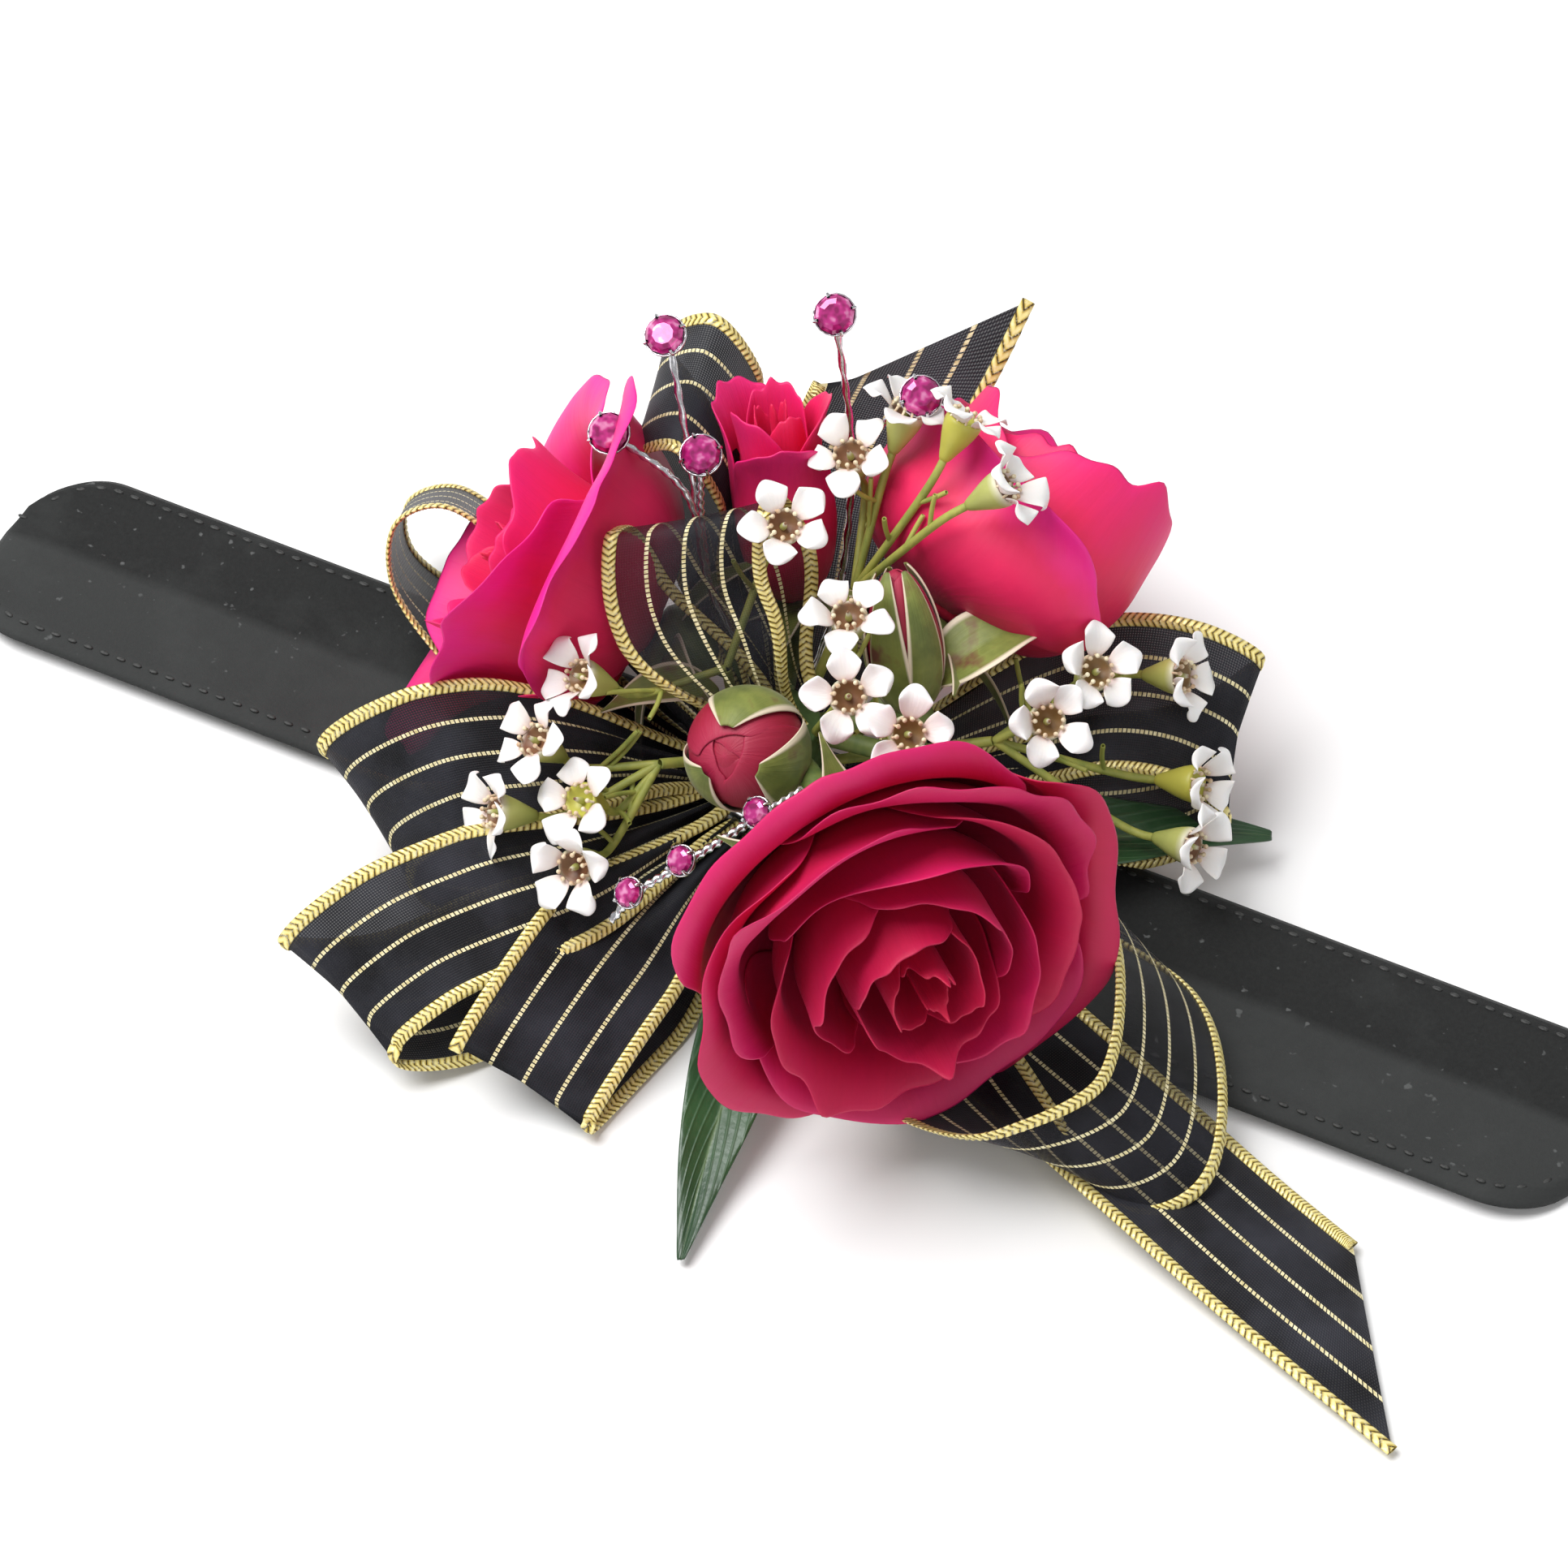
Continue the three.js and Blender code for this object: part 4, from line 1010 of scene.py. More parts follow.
def rose(
    name, base, axis, roll, radius, height, petals, heart_rise, outer_rise, flare, curl, spread, seed, reach,
    tint, shoulder, roll_start, closed, skirt, turn, petal,
):
    """A bloom from its heart outwards. The inner share of petals in closed does not roll back. The last
    petal is turned from the front by an angle, and its height and reach are the two shares in skirt."""
    chance = random.Random(seed)
    bm = new_shape()
    place = stand(base, axis, roll)
    front = place.to_3x3().inverted() @ to_camera
    start = math.atan2(front.y, front.x) + turn - (petals - 1) * GOLDEN_ANGLE
    for k in range(petals):
        q = k / (petals - 1)
        out = 1 - (1 - q) ** 1.3
        skirt_rise, skirt_reach = skirt if k == petals - 1 else (1, 1)
        surface = petal_surface(
            place,
            foot=(lerp(0.04, 0.2, out) * radius, lerp(0.26, 0.03, out) * height),
            reach=radius * lerp(0.07, reach, out) * chance.uniform(0.96, 1.02) * skirt_reach,
            height=height * lerp(heart_rise, outer_rise, q**1.3) * chance.uniform(0.95, 1.03) * skirt_rise,
            flare=lerp(-0.1, flare, q),
            curl=curl * smoothstep(closed, 1.0, q) * chance.uniform(0.7, 1.3),
            azimuth=start + k * GOLDEN_ANGLE + chance.uniform(-0.12, 0.12),
            half_angle=lerp(1.8, spread, q**0.6) * chance.uniform(0.92, 1.12),
            lap=0.05 * radius * lerp(0.4, 1.0, q),
            waver=0.045 * radius * q**0.7 * chance.uniform(0.4, 1.6),
            phase=chance.uniform(0, 6.28),
            tip=0.0036 * radius * chance.uniform(0.2, 1.4),
            shoulder=shoulder,
            roll_start=roll_start,
        )
        # The shade turns each rim magenta: partly at random, as the petals' own colour, and partly by the
        # share set for the rose, which is a painted reflection of the sky.
        grow_grid(bm, surface, 26, 14, shade=0.4 * chance.random() * q + tint * q)
    grow_turned(bm, [(0, 0), (0.2, 0), (0.27, 0.14), (0, 0.34)], 12, place, (radius, height))
    return finish_piece(name, bm, [petal], thickness=0.32, subdivisions=1)


# %% [markdown]
# The four roses differ in size, in how far they have opened and in the way they face. Copies of one mesh
# would look alike, so each is grown from its own values.

# %% The four roses
# The last values of each rose paint light into its colour: the share of painted sky reflection that turns its
# rims magenta and, for the roses that face the light, a petal material painted lighter.
ROSES = {
    "rose_front": dict(
        base=(22.9, -22.9, 31.5), axis=(0.72, -0.68, 0.15), roll=0.3, radius=27, height=28,
        petals=18, heart_rise=0.9, outer_rise=0.66, flare=-0.02, curl=1.9, spread=1.25, seed=11, reach=0.95,
        tint=0.1, shoulder=0.17, roll_start=0.68, closed=0.3, skirt=(1, 1), turn=0.0, petal=PETAL,
    ),
    "rose_left": dict(
        base=(-21.5, 8, 22), axis=(-0.88, -0.2, 0.42), roll=0.5, radius=21, height=29,
        petals=12, heart_rise=0.8, outer_rise=0.98, flare=0.02, curl=1.9, spread=1.3, seed=5, reach=0.99,
        tint=0.5, shoulder=0.24, roll_start=0.64, closed=0.4, skirt=(0.86, 1.12), turn=0.45,
        petal=PETAL_PAINTED_LIT,
    ),
    "rose_right": dict(
        base=(13.2, 21.5, 27.5), axis=(0.26, 0.85, 0.46), roll=0.2, radius=20.5, height=26,
        petals=13, heart_rise=0.8, outer_rise=1.1, flare=-0.22, curl=1.5, spread=1.55, seed=9, reach=0.99,
        tint=0.3, shoulder=0.22, roll_start=0.7, closed=0.86, skirt=(0.66, 1.14), turn=-0.7,
        petal=PETAL_PAINTED_LIT,
    ),
    "rose_back": dict(
        base=(-7, 18, 25), axis=(-0.22, 0.28, 0.93), roll=0, radius=7.5, height=29,
        petals=9, heart_rise=0.94, outer_rise=0.98, flare=-0.2, curl=0.7, spread=1.45, seed=2, reach=0.99,
        tint=0.1, shoulder=0.2, roll_start=0.75, closed=0.3, skirt=(0.9, 1), turn=0.0, petal=PETAL_PAINTED_LIT,
    ),
}
for name, values in ROSES.items():
    place_piece(rose(name + "_petals", **values), name + "_bloom")

# %% [markdown]
# Each rose sits in a green cup with five sepals that have bent back, on a stem that runs into the core.
# One longer sepal of the left rose shows from the front, like a small dark leaf beside the bow. The cup
# is turned from a profile, and one sepal's formula is turned round the stem five times.

# %% Rose calyxes


def core_seat(angle, share):
    reach = 0.75 * CORE_RADIUS
    return (reach * math.cos(angle), reach * math.sin(angle), CORE_LEVEL + share * CORE_HEIGHT)


def along_axis(base, axis, distance):
    return tuple(Vector(base) + distance * Vector(axis).normalized())


def calyx(
    name, base, axis, roll, radius, sepal_reach, sepal_width, sepal_rise, stem, turn=0.0, leaf_route=None,
):
    """The cup, its sepals and the stem; turn moves the sepals round the stem."""
    bm = new_shape()
    place = stand(base, axis, roll + turn)
    cup = [(0, -0.42), (0.1, -0.42), (0.17, -0.32), (0.22, -0.2), (0.22, -0.1), (0.2, -0.015), (0, -0.015)]
    grow_turned(bm, cup, 16, place, (radius, radius), material=1)
    for k in range(5):
        spin = Matrix.Rotation(2 * math.pi * k / 5, 4, "Z")

        def surface(u, v):
            width = sepal_width * (0.3 + math.sin(math.pi * v**0.7)) * (1 - 0.85 * v)
            height = -0.12 * radius + sepal_rise * v * v + 0.25 * abs(u) * width
            return place @ spin @ (Vector((0.18 * radius + v * sepal_reach, u * width, height)) * MM)

        grow_grid(bm, surface, 6, 10)
    if leaf_route:
        blade(bm, leaf_route, 6, 0)
    seat = core_seat(math.atan2(base[1], base[0]), 0.75)
    route = [along_axis(base, axis, -0.3 * radius), along_axis(base, axis, -0.75 * radius), seat]
    grow_tube(bm, route, 0.5 * stem, sides=10, steps=14, material=1)
    return finish_piece(name, bm, [SEPAL, STEM], thickness=0.3, subdivisions=1)


LARGE_CALYX = dict(sepal_reach=15, sepal_width=3.4, sepal_rise=-6, stem=3.4)
LEFT_LEAF = [(-8, 0, 25), (-12, -3, 27.5), (-16, -6.5, 27.5), (-20, -9.5, 25)]
CALYXES = {
    "rose_front": dict(LARGE_CALYX, sepal_reach=11, turn=-0.35),
    "rose_left": dict(LARGE_CALYX, leaf_route=LEFT_LEAF),
    "rose_right": LARGE_CALYX,
    "rose_back": dict(sepal_reach=8, sepal_width=2.4, sepal_rise=-3, stem=2.4),
}
for name, values in CALYXES.items():
    bloom = ROSES[name]
    made = calyx(name + "_sepals", bloom["base"], bloom["axis"], bloom["roll"], bloom["radius"], **values)
    place_piece(made, name + "_calyx")

# %% [markdown]
# ## Buds
# Two buds stay furled. Their petals lap round a closed dome, and the sepals that held them lie on the
# outside, green with cream margins. The right-hand bud is tall and pointed, and one of its sepals has
# bent away to the right like a small leaf. A bud could be a rose of few petals, but these lie so close
# that they would cross, so petals and sepals are all laid on one dome.

# %% Buds
BUD_PETALS = 6
BUDS = {
    "right": dict(
        radius=5.5, height=19, base=(16.5, 5, 29), axis=(-0.34, 0.4, 0.85), roll=-0.3, point=0.35,
        sepals=5, sepal_cover=0.9, sepal_width=3.6,
        bent_sepal=[(18.2, 8, 32), (21, 12.5, 35), (25, 17.5, 36), (29.2, 22.1, 34)],
    ),
    "front": dict(
        radius=7.5, height=15, base=(2, -5.5, 26.5), axis=(-0.05, -0.78, 0.62), roll=1.9, point=0.0,
        sepals=3, sepal_cover=0.88, sepal_width=7.2, bent_sepal=None,
    ),
}


def bud(name, radius, height, base, axis, roll, point, sepals, sepal_cover, sepal_width, bent_sepal):
    """A furled bud on its stem. The dome narrows by the share point at its tip, and the sepals reach up to
    the share sepal_cover of it."""
    chance = random.Random(len(name))
    bm = new_shape()
    place = stand(base, axis, roll)

    def on_dome(angle, share, lift):
        """A point of the dome: share runs from its foot to its tip."""
        out = radius * math.sin(math.pi * share) * (1 - point * share) + lift
        level = 0.5 * height * (1 - math.cos(math.pi * share)) + lift * max(0.0, 2 * share - 1)
        return place @ (Vector((out * math.cos(angle), out * math.sin(angle), level)) * MM)

    for k in range(BUD_PETALS):
        azimuth = k * GOLDEN_ANGLE
        top = lerp(1.0, 0.9, k / (BUD_PETALS - 1))

        def petal(u, v):
            share = lerp(0.12, top - 0.07 * u * u, v)
            return on_dome(azimuth + 1.3 * u + 0.9 * v, share, 0.1 * k - 0.5 + 0.35 * u * (1 - v))

        grow_grid(bm, petal, 14, 12, shade=0.5 * chance.random())
    inner = []
    for share in (0.1, 0.25, 0.4, 0.55, 0.7, 0.82, 0.91, 0.96, 1.0):
        out = 0.97 * radius * math.sin(math.pi * share) * (1 - point * share)
        level = 0.5 * height * (1 - math.cos(math.pi * share))
        inner.append((max(out - 0.5, 0.0), level - 0.3))
    grow_turned(bm, inner, 16, place, shade=0.5)
    for k in range(sepals):
        azimuth = 2 * math.pi * k / sepals + chance.uniform(-0.15, 0.15)
        cover = sepal_cover * chance.uniform(0.93, 1.05)

        def sepal(u, v):
            share = lerp(0.04, min(cover, 0.97), v)
            girth = radius * math.sin(math.pi * share) + 0.8
            half_angle = sepal_width * math.sin(math.pi * (0.2 + 0.76 * v)) / girth
            return on_dome(azimuth + u * half_angle, share, 0.5 + 0.3 * v * v - 0.15 * abs(u))

        grow_grid(bm, sepal, 8, 12, material=1)
    if bent_sepal:
        blade(bm, bent_sepal, 8.5, 1)
    cup = [(0, -0.5), (0.3, -0.5), (0.45, -0.3), (0.5, 0.05), (0.3, 0.2), (0, 0.2)]
    grow_turned(bm, cup, 14, place, (radius, radius), material=2)
    seat = core_seat(math.atan2(base[1], base[0]), 0.9)
    route = [along_axis(base, axis, -0.4 * radius), along_axis(base, axis, -radius), seat]
    grow_tube(bm, route, 1.2, sides=10, steps=12, material=2)
    return finish_piece("bud_%s_furled" % name, bm, [PETAL_DARK, SEPAL, STEM], thickness=0.3, subdivisions=1)


for name, values in BUDS.items():
    place_piece(bud(name, **values), "bud_" + name)

# %% [markdown]
# ## Waxflower
# Each little flower has five round petals about a green cup that tapers into its stalk. A ring of
# stamens stands inside the rim. The flowers of one sprig share a woody stem, with a few needle leaves.

# %% Waxflower sizes and places
WAX_RADIUS = 6.2
WAX_CUP_RADIUS = 2.7
WAX_CUP_DEPTH = 5.5
WAX_PETALS = 5
STAMENS = 10
STAMEN_TIP = 0.33

SPRIGS = {
    "back": dict(
        seat=core_seat(1.25, 0.9), fork=(3, 16, 34),
        flowers=[
            ((-1, 23, 50), (-0.1, -0.3, 0.95)), ((4, 28.5, 55), (0.1, 0.5, 0.86)),
            ((12.5, 27, 59), (0.2, 0.6, 0.78)), ((21, 20.5, 57.5), (0.7, 0.35, 0.6)),
        ],
    ),
    "centre": dict(
        seat=core_seat(0.1, 0.98), fork=(11, -2, 37),
        flowers=[
            ((9, 2, 46), (0, -0.2, 0.98)), ((15.5, -11.5, 48.5), (0.28, -0.5, 0.82)),
            ((25, -14.5, 49.5), (0.5, -0.4, 0.77)),
        ],
    ),
    "right": dict(
        seat=core_seat(0.35, 0.6), fork=(26, 9, 24),
        flowers=[
            ((34, 7, 34), (0.45, -0.45, 0.77)), ((36, 17, 34), (0.5, -0.2, 0.84)),
            ((43, 27.5, 26), (0.9, 0, 0.43)), ((49, 20, 16), (0.95, 0.05, 0.3)),
            ((52, 12, 14), (0.95, -0.1, 0.3)),
        ],
    ),
    "left": dict(
        seat=core_seat(-2.4, 0.7), fork=(-10, -13, 24),
        flowers=[
            ((-23, -21, 30), (-0.5, -0.4, 0.77)), ((-24.5, -29, 24), (-0.7, -0.6, 0.4)),
            ((-15, -24.5, 26.5), (-0.3, -0.6, 0.74)), ((-12.5, -31, 22), (-0.1, -0.85, 0.5)),
        ],
    ),
    "top": dict(
        seat=core_seat(-2.9, 0.95), fork=(-6, -2, 33),
        flowers=[((-3, 8, 51), (0.35, -0.3, 0.88)), ((-20, -14, 36.5), (-0.6, -0.5, 0.62))],
    ),
}


print("waxflowers:", sum(len(values["flowers"]) for values in SPRIGS.values()))

# %% [markdown]
# One flower could be modelled once and copied. Here each is grown again with a little chance in its petals,
# because flowers this close together would show that they are copies.

# %% One waxflower


def waxflower(bm, place, chance):
    """One flower: its petals, its cup, the stamens and the pistil."""
    for k in range(WAX_PETALS):
        turn = Matrix.Rotation(2 * math.pi * k / WAX_PETALS + chance.uniform(-0.08, 0.08), 4, "Z")
        lift = chance.uniform(0.1, 2.6)
        tilt = chance.uniform(-0.45, 0.45)
        size = chance.uniform(0.88, 1.06)
        phase = chance.uniform(0, 6.28)

        def surface(u, v):
            reach = 0.72 * WAX_CUP_RADIUS + v * (WAX_RADIUS * size - 0.72 * WAX_CUP_RADIUS)
            half = 2.25 * math.sqrt(1 - ((v - 0.62) / 0.66) ** 2)
            round_off = 1.5 * u * u * smoothstep(0.3, 1.0, v)
            cupping = 0.7 * u * u * math.sin(math.pi * v)
            height = 0.4 + lift * math.sin(2.2 * v) + cupping + tilt * u * v * half
            height += 0.25 * v * v * math.sin(5 * u + phase)
            return place @ turn @ (Vector((reach - round_off, u * half, height)) * MM)

        grow_grid(bm, surface, 6, 7, shade=chance.random())
    cup = [
        (0, -1), (0.25, -1), (0.4, -0.75), (0.72, -0.4), (0.88, -0.12), (0.92, 0.06), (0.78, 0.1),
        (0.55, -0.08), (0, -0.16),
    ]
    age = chance.choice((0.0, 0.0, 0.0, 0.1, 1.0))
    grow_turned(bm, cup, 14, place, (WAX_CUP_RADIUS, WAX_CUP_DEPTH), material=1, shade=age)
    for k in range(STAMENS):
        angle = 2 * math.pi * k / STAMENS + chance.uniform(-0.1, 0.1)
        out = 0.82 * WAX_CUP_RADIUS
        foot = place @ (Vector((out * math.cos(angle), out * math.sin(angle), 0.3)) * MM)
        head = place @ (Vector((0.82 * out * math.cos(angle), 0.82 * out * math.sin(angle), 1.3)) * MM)
        spot = Matrix.Translation(head)
        made = bmesh.ops.create_icosphere(bm, subdivisions=1, radius=STAMEN_TIP * MM, matrix=spot)
        smooth_faces(made["verts"], material=2)
        stalk = [foot / MM, foot.lerp(head, 0.5) / MM, head / MM]
        grow_tube(bm, stalk, 0.14, sides=5, steps=3, material=2)
    middle = place @ Matrix.Translation((0, 0, 0.4 * MM))
    pistil = [(0, -0.9), (0.55, -0.6), (0.3, 0.3), (0.12, 1.2), (0, 1.3)]
    grow_turned(bm, pistil, 8, middle, material=1)


# %% [markdown]
# A sprig's stem rises from the core to a fork, and a stalk runs from there to the foot of each flower. The
# needle leaves are thin tubes, because they are nearly round on the plant.

# %% A sprig


def sprig(name, seat, fork, flowers):
    chance = random.Random(len(name) + 3)
    bm = new_shape()
    middle = [(a + b) / 2 for a, b in zip(seat, fork)]
    grow_tube(bm, [seat, middle, fork], 0.65, steps=10, material=3)
    for n, (place, axis) in enumerate(flowers):
        waxflower(bm, stand(place, axis, n), chance)
        neck = along_axis(place, axis, -1.5 * WAX_CUP_DEPTH)
        foot = along_axis(place, axis, -0.9 * WAX_CUP_DEPTH)
        route = grow_tube(bm, [fork, neck, foot], 0.5, steps=14, material=3)
        for _ in range(2):
            start, heading = route.at(chance.uniform(0.35, 0.75))
            away = Vector((chance.uniform(-1, 1), chance.uniform(-1, 1), chance.uniform(0.1, 1))).normalized()
            tip = start + (0.5 * heading + 0.8 * away).normalized() * chance.uniform(5, 8) * MM
            bend = start.lerp(tip, 0.5) + 0.4 * MM * away
            grow_tube(bm, [start / MM, bend / MM, tip / MM], 0.3, sides=6, steps=6, material=3)
    materials = [WAX_PETAL, WAX_CUP, STAMEN, SPRIG]
    return finish_piece("waxflower_" + name, bm, materials, thickness=0.18, subdivisions=1)


for name, values in SPRIGS.items():
    place_piece(sprig(name, **values), "waxflower_sprig_" + name)

# %% [markdown]
# ## Gems
# Pink faceted stones in small silver cups. Five stand on wire stalks behind the roses, and three hang in
# a strand of twisted wire beside the front rose. A stone is turned from a profile with only ten sides,
# and left flat-shaded, so that the sides are its facets.

# %% Stones and cups
GEM_RADIUS = 2.5
STRAND_GEM_RADIUS = 1.8
GEM_BACK = -0.75
SPRAY = [
    dict(place=(-27, 23, 60), axis=(0.05, -0.55, 0.83), route=[(-4, 5, 22), (-14, 9, 34), (-20, 16, 47)]),
    dict(place=(-29.4, 12, 51.5), axis=(0.1, -0.6, 0.79), route=[(-14, 9, 34), (-19, 12.5, 45)]),
    dict(place=(-18, 15, 50), axis=(0.2, -0.5, 0.84), route=[(-14, 9, 34), (-17, 13, 42)]),
    dict(place=(-7, 30.5, 66), axis=(0.25, -0.6, 0.76), route=[(-2, 7, 14), (-2, 20, 22), (-3.5, 28.5, 42)]),
    dict(place=(5.5, 29.5, 58), axis=(0.3, -0.55, 0.78), route=[(-3.5, 28.5, 42), (0, 29, 50)]),
]
STRAND_ROUTE = [(12, -17, 35), (9, -22, 34), (2, -29, 28.5), (-3, -33.5, 24.5), (-5, -36, 21)]
STRAND_FACING = (-0.25, -0.62, 0.74)
STRAND_LIFT = 1.7


def gem(name, place, axis, radius):
    """A stone with a table, a ring of crown facets, a girdle and a pointed back."""
    bm = new_shape()
    spot = stand(place, axis)
    profile = [(0, GEM_BACK), (1, -0.02), (1, 0.1), (0.82, 0.32), (0.55, 0.46), (0, 0.46)]
    grow_turned(bm, profile, 10, spot, (radius, radius))
    for face in bm.faces:
        face.smooth = False
    return finish_piece(name, bm, [GEM])


def gem_cup(bm, place, axis, radius):
    """The cup round a stone's back, with four claws over its girdle."""
    spot = stand(place, axis)
    outer = radius + 0.25
    back = GEM_BACK * radius
    profile = [
        (0, back - 1.0), (0.4 * outer, back - 0.9), (outer, -0.6), (outer, -0.1), (outer - 0.2, -0.1),
        (outer - 0.3, -0.5), (0.3 * outer, back - 0.5), (0, back - 0.5),
    ]
    grow_turned(bm, profile, 20, spot)
    for k in range(4):
        claw = spot @ Matrix.Rotation(math.pi / 4 + k * math.pi / 2, 4, "Z")
        points = [(outer - 0.1, 0, -0.4), (outer - 0.05, 0, 0.15 * radius), (outer - 0.5, 0, 0.3 * radius)]
        grow_tube(bm, [claw @ (Vector(p) * MM) / MM for p in points], 0.22, sides=6, steps=5)


# %% [markdown]
# Each wire is two strands twisted together, which a tube with two lobes gives. The stones and the wires
# are separate pieces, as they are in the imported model.

# %% Spray and strand
for n, values in enumerate(SPRAY, 1):
    stone = gem("gem_spray_stone_%d" % n, values["place"], values["axis"], GEM_RADIUS)
    place_piece(stone, "spray_gem_%d" % n)

for label, members in (("left", SPRAY[:3]), ("back", SPRAY[3:])):
    bm = new_shape()
    for values in members:
        foot = along_axis(values["place"], values["axis"], GEM_BACK * GEM_RADIUS - 0.8)
        grow_tube(bm, [*values["route"], foot], 0.42, steps=70, twist=14, lobes=0.25)
        gem_cup(bm, values["place"], values["axis"], GEM_RADIUS)
    made = finish_piece("gem_spray_%s" % label, bm, [SILVER])
    place_piece(made, "gem_spray_wire_" + label)

strand_gems = [along_axis(p, STRAND_FACING, STRAND_LIFT) for p in STRAND_ROUTE[1:4]]
for n, spot in enumerate(strand_gems, 1):
    stone = gem("gem_strand_stone_%d" % n, spot, STRAND_FACING, STRAND_GEM_RADIUS)
    place_piece(stone, "strand_gem_%d" % n)

bm = new_shape()
grow_tube(bm, STRAND_ROUTE, 0.5, steps=110, twist=24, lobes=0.3)
for spot in strand_gems:
    gem_cup(bm, spot, STRAND_FACING, STRAND_GEM_RADIUS)
place_piece(finish_piece("gem_strand", bm, [SILVER]), "gem_strand_wire")

# %% [markdown]
# ## Leaves
# Two glossy dark blades stick out from under the flowers, folded a little along the midrib. A flat
# plane with a picture would do from above, but a grid on a midrib also shows the fold from the side.

# %% Leaves
LEAVES = {
    "front": (11, [(2, -7, 7), (10, -25, 6.5), (14, -42, 5), (16.5, -54, 3.2), (19.5, -66, 1.2)]),
    "right": (13, [(7, 3, 7), (24, 7, 7.5), (40, 13, 8), (50, 20, 7), (58, 25, 5)]),
}


def leaf(name, width, spine):
    midrib = Route(spine)
    bm = new_shape()

    def surface(u, v):
        place, heading = midrib.at(v)
        side = heading.cross(Vector((0, 0, 1))).normalized()
        face = side.cross(heading)
        half = 0.5 * width * (0.1 + math.sin(math.pi * v**0.85)) * (1 - 0.1 * v)
        wave = 0.35 * math.sin(9 * v + 2 * u)
        return place + (u * half * side + (0.25 * abs(u) * half + wave * abs(u)) * face) * MM

    grow_grid(bm, surface, 12, 30)
    return finish_piece("leaf_%s_blade" % name, bm, [LEAF], thickness=0.4, subdivisions=1)


for name, (width, spine) in LEAVES.items():
    place_piece(leaf(name, width, spine), "leaf_" + name)

# %% [markdown]
# ## Ribbon bow
# The bow is one long ribbon, folded into loops and pinched at the core, with two cut tails. Each loop or
# tail is a strip along its own route. It is narrow where the wire pinches it and full further out,
# ripples a little between its edges, and has a gold braid along each edge. A cloth simulation could drape
# it, but stiff organza keeps the shape that it is folded to, and a route gives that shape directly.

# %% Ribbon routes
RIBBON_WIDTH = 19
RIBBON_PINCH = 0.3
RIBBON_STEP = 1.1
BRAID_HALF_WIDTH = 0.9
BRAID_HALF_DEPTH = 0.3
BRAID_PITCH = 0.8
ACROSS_TURN = 0.25
TWIST_SPAN = (0.45, 0.85)

RIBBONS = {
    "loop_top": dict(
        route=[
            (2, -3, 25), (-5, -4, 34), (-12, -1, 43), (-14, 3.5, 50.5), (-14, 8.5, 47), (-8, 8, 37),
            (0, 4, 26),
        ],
        across=(0.84, 0.5, 0.2), loop=True, sheer_to=1.1,
    ),
    "loop_back": dict(
        route=[
            (-4, 6, 17), (-17, 24, 33), (-18, 25.5, 43), (-24.5, 26, 49.5), (-31, 25.5, 43), (-25, 25, 33),
            (-7, 8, 12),
        ],
        across=(-0.2, 0.95, 0.2), loop=True,
    ),
    "loop_far_left": dict(
        route=[
            (-8, 3, 9), (-29, 14, 9), (-46, 19, 15), (-56, 17.5, 21), (-61, 14.5, 18.5), (-60, 11.5, 12),
            (-48, 8, 7.5), (-28, 5, 6.5), (-8, 1, 7.5),
        ],
        across=(0.3, -0.7, 0.65), across_end=(0.2, -0.95, 0.1), loop=True,
    ),
    "loop_left": dict(
        route=[
            (-7, -5, 15), (-18, -13, 22), (-27, -19, 24), (-36, -24, 22), (-44, -28, 13), (-35, -26, 7),
            (-8, -6, 10),
        ],
        across=(0.77, -0.33, -0.53), loop=True,
    ),
    "loop_low_left": dict(
        route=[
            (-4, -8, 13), (-13, -27, 17), (-21.5, -38, 18), (-29, -47, 16), (-34, -54, 10), (-26, -47, 6.2),
            (-3, -9, 9),
        ],
        across=(0.86, -0.19, -0.46), loop=True,
    ),
    "loop_low_front": dict(
        route=[
            (-1, -8.5, 12), (-5, -25, 12.5), (-7, -40, 11), (-8.5, -54, 6.2), (-6, -40, 5.2), (0, -9, 7.5),
        ],
        across=(0.8, 0.1, -0.4), loop=True,
    ),
    "loop_right": dict(
        route=[
            (7, 5, 10), (25, 22, 15), (35, 27, 19), (45, 29, 19.5), (51, 29.5, 16), (45, 24, 10), (8, 4, 8.5),
        ],
        across=(0.15, -0.75, -0.62), loop=True,
    ),
    "loop_front_right": dict(
        route=[
            (8, -2, 11), (31, 0, 13), (53, -5, 15), (63, -17.5, 15), (66, -30.5, 11.5), (58, -37.5, 9),
            (44, -33.5, 8), (25, -20, 8), (6, -6, 8.5),
        ],
        across=(0.72, 0, -0.68), across_end=(0.5, 0.8, 0.1), loop=True, sheer_to=0.62,
    ),
    "tail_front_right": dict(
        route=[(5, -7, 8.5), (26, -14, 7), (46, -21, 5.5), (64, -27.5, 4), (82, -34, 2.2), (101, -40.5, 1.3)],
        across=(0.25, -0.97, 0), slant=12,
    ),
    "tail_back": dict(
        route=[(-1, 8, 10), (-5, 26, 16), (-8, 40, 26), (-5, 52, 40)],
        across=(0.95, 0.3, 0.1), slant=12,
    ),
}


print("ribbon runs:", len(RIBBONS))

# %% [markdown]
# A run of ribbon is a grid along its route. Its width keeps close to one direction, pleats gather it at
# the core, and a flat tube along each edge carries the strands of the braid as small swells.

# %% One run of ribbon


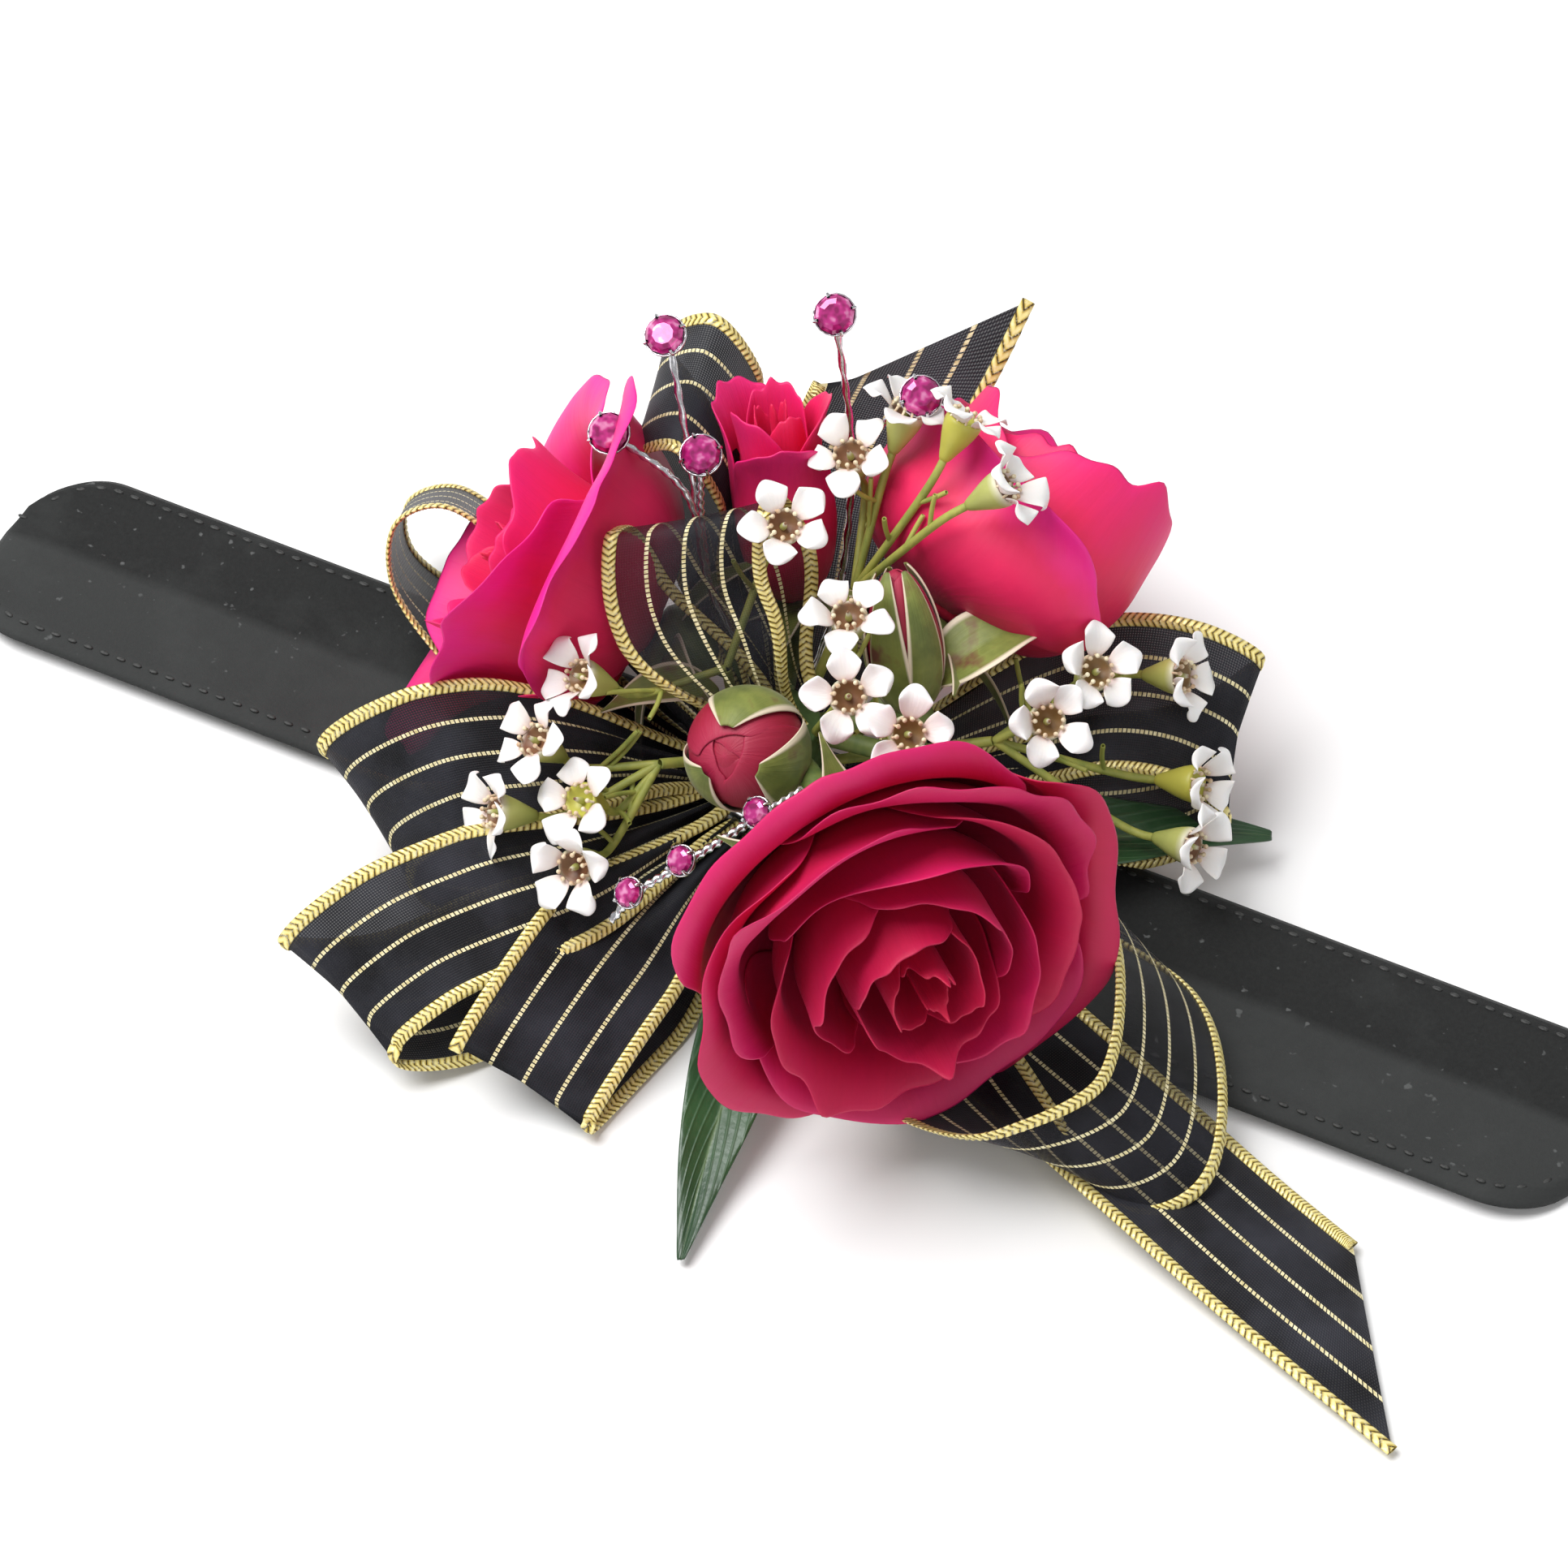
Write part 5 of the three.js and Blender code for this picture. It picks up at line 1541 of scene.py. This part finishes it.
def ribbon(name, route, across, across_end=None, loop=False, slant=0, sheer_to=0.0):
    """A run of ribbon whose width lies along across, and turns to across_end on its way back. It is sheer
    up to the share sheer_to of its length. A tail's cut end has one corner a length slant ahead of its
    middle, and the other as far behind."""
    path = Route(route)
    spread_start = Vector(across).normalized()
    spread_end = Vector(across_end or across).normalized()
    seed = sum(map(ord, name)) % 7

    def frame_at(v):
        place, heading = path.at(v)
        spread = spread_start.lerp(spread_end, smoothstep(*TWIST_SPAN, v)).normalized()
        side = (spread - (ACROSS_TURN if loop else 1) * spread.dot(heading) * heading).normalized()
        from_pinch = min(v, 1 - v) if loop else v
        width = lerp(RIBBON_PINCH, 1.0, smoothstep(0.0, 0.3, from_pinch))
        return place, heading, side, side.cross(heading).normalized(), width

    def surface(u, v):
        place, heading, side, face, width = frame_at(v)
        pleat = (1 - width) * 1.6 * math.cos(3 * math.pi * u)
        ripple = 0.35 * math.sin(7 * v + seed) * (1 - u * u)
        shift = slant * u * v**8
        across = 0.5 * RIBBON_WIDTH * width * u
        return place + (shift * heading + across * side + (pleat + ripple) * face) * MM

    def density(u, v):
        return smoothstep(sheer_to - 0.05, sheer_to + 0.05, v)

    bm = new_shape()
    widths = path.length / (RIBBON_WIDTH * MM)
    steps = int(path.length / (RIBBON_STEP * MM))
    grow_grid(bm, surface, 20, steps, shade=density, uv_scale=(1.0, widths))
    strands = path.length / (BRAID_PITCH * MM)
    for edge in (-1, 1):

        def braid(u, v):
            place = surface(edge, v)
            _, _, side, face, _ = frame_at(v)
            angle = math.pi * u
            lay = strands * v - BRAID_SLOPE * abs(math.cos(angle))
            depth = BRAID_HALF_DEPTH * (1 - 0.35 * math.cos(2 * math.pi * lay))
            offset = BRAID_HALF_WIDTH * math.cos(angle) * side + depth * math.sin(angle) * face
            return place + offset * MM

        grow_grid(bm, braid, 12, int(4 * strands), material=1, uv_scale=(1.0, strands), seam=True)
    piece = finish_piece("ribbon_%s_organza" % name, bm, [ORGANZA, GOLD_BRAID])
    place_piece(piece, "ribbon_" + name)
    return path.length


for name, values in RIBBONS.items():
    print("ribbon %s is %.0f mm long" % (name, ribbon(name, **values) / MM))
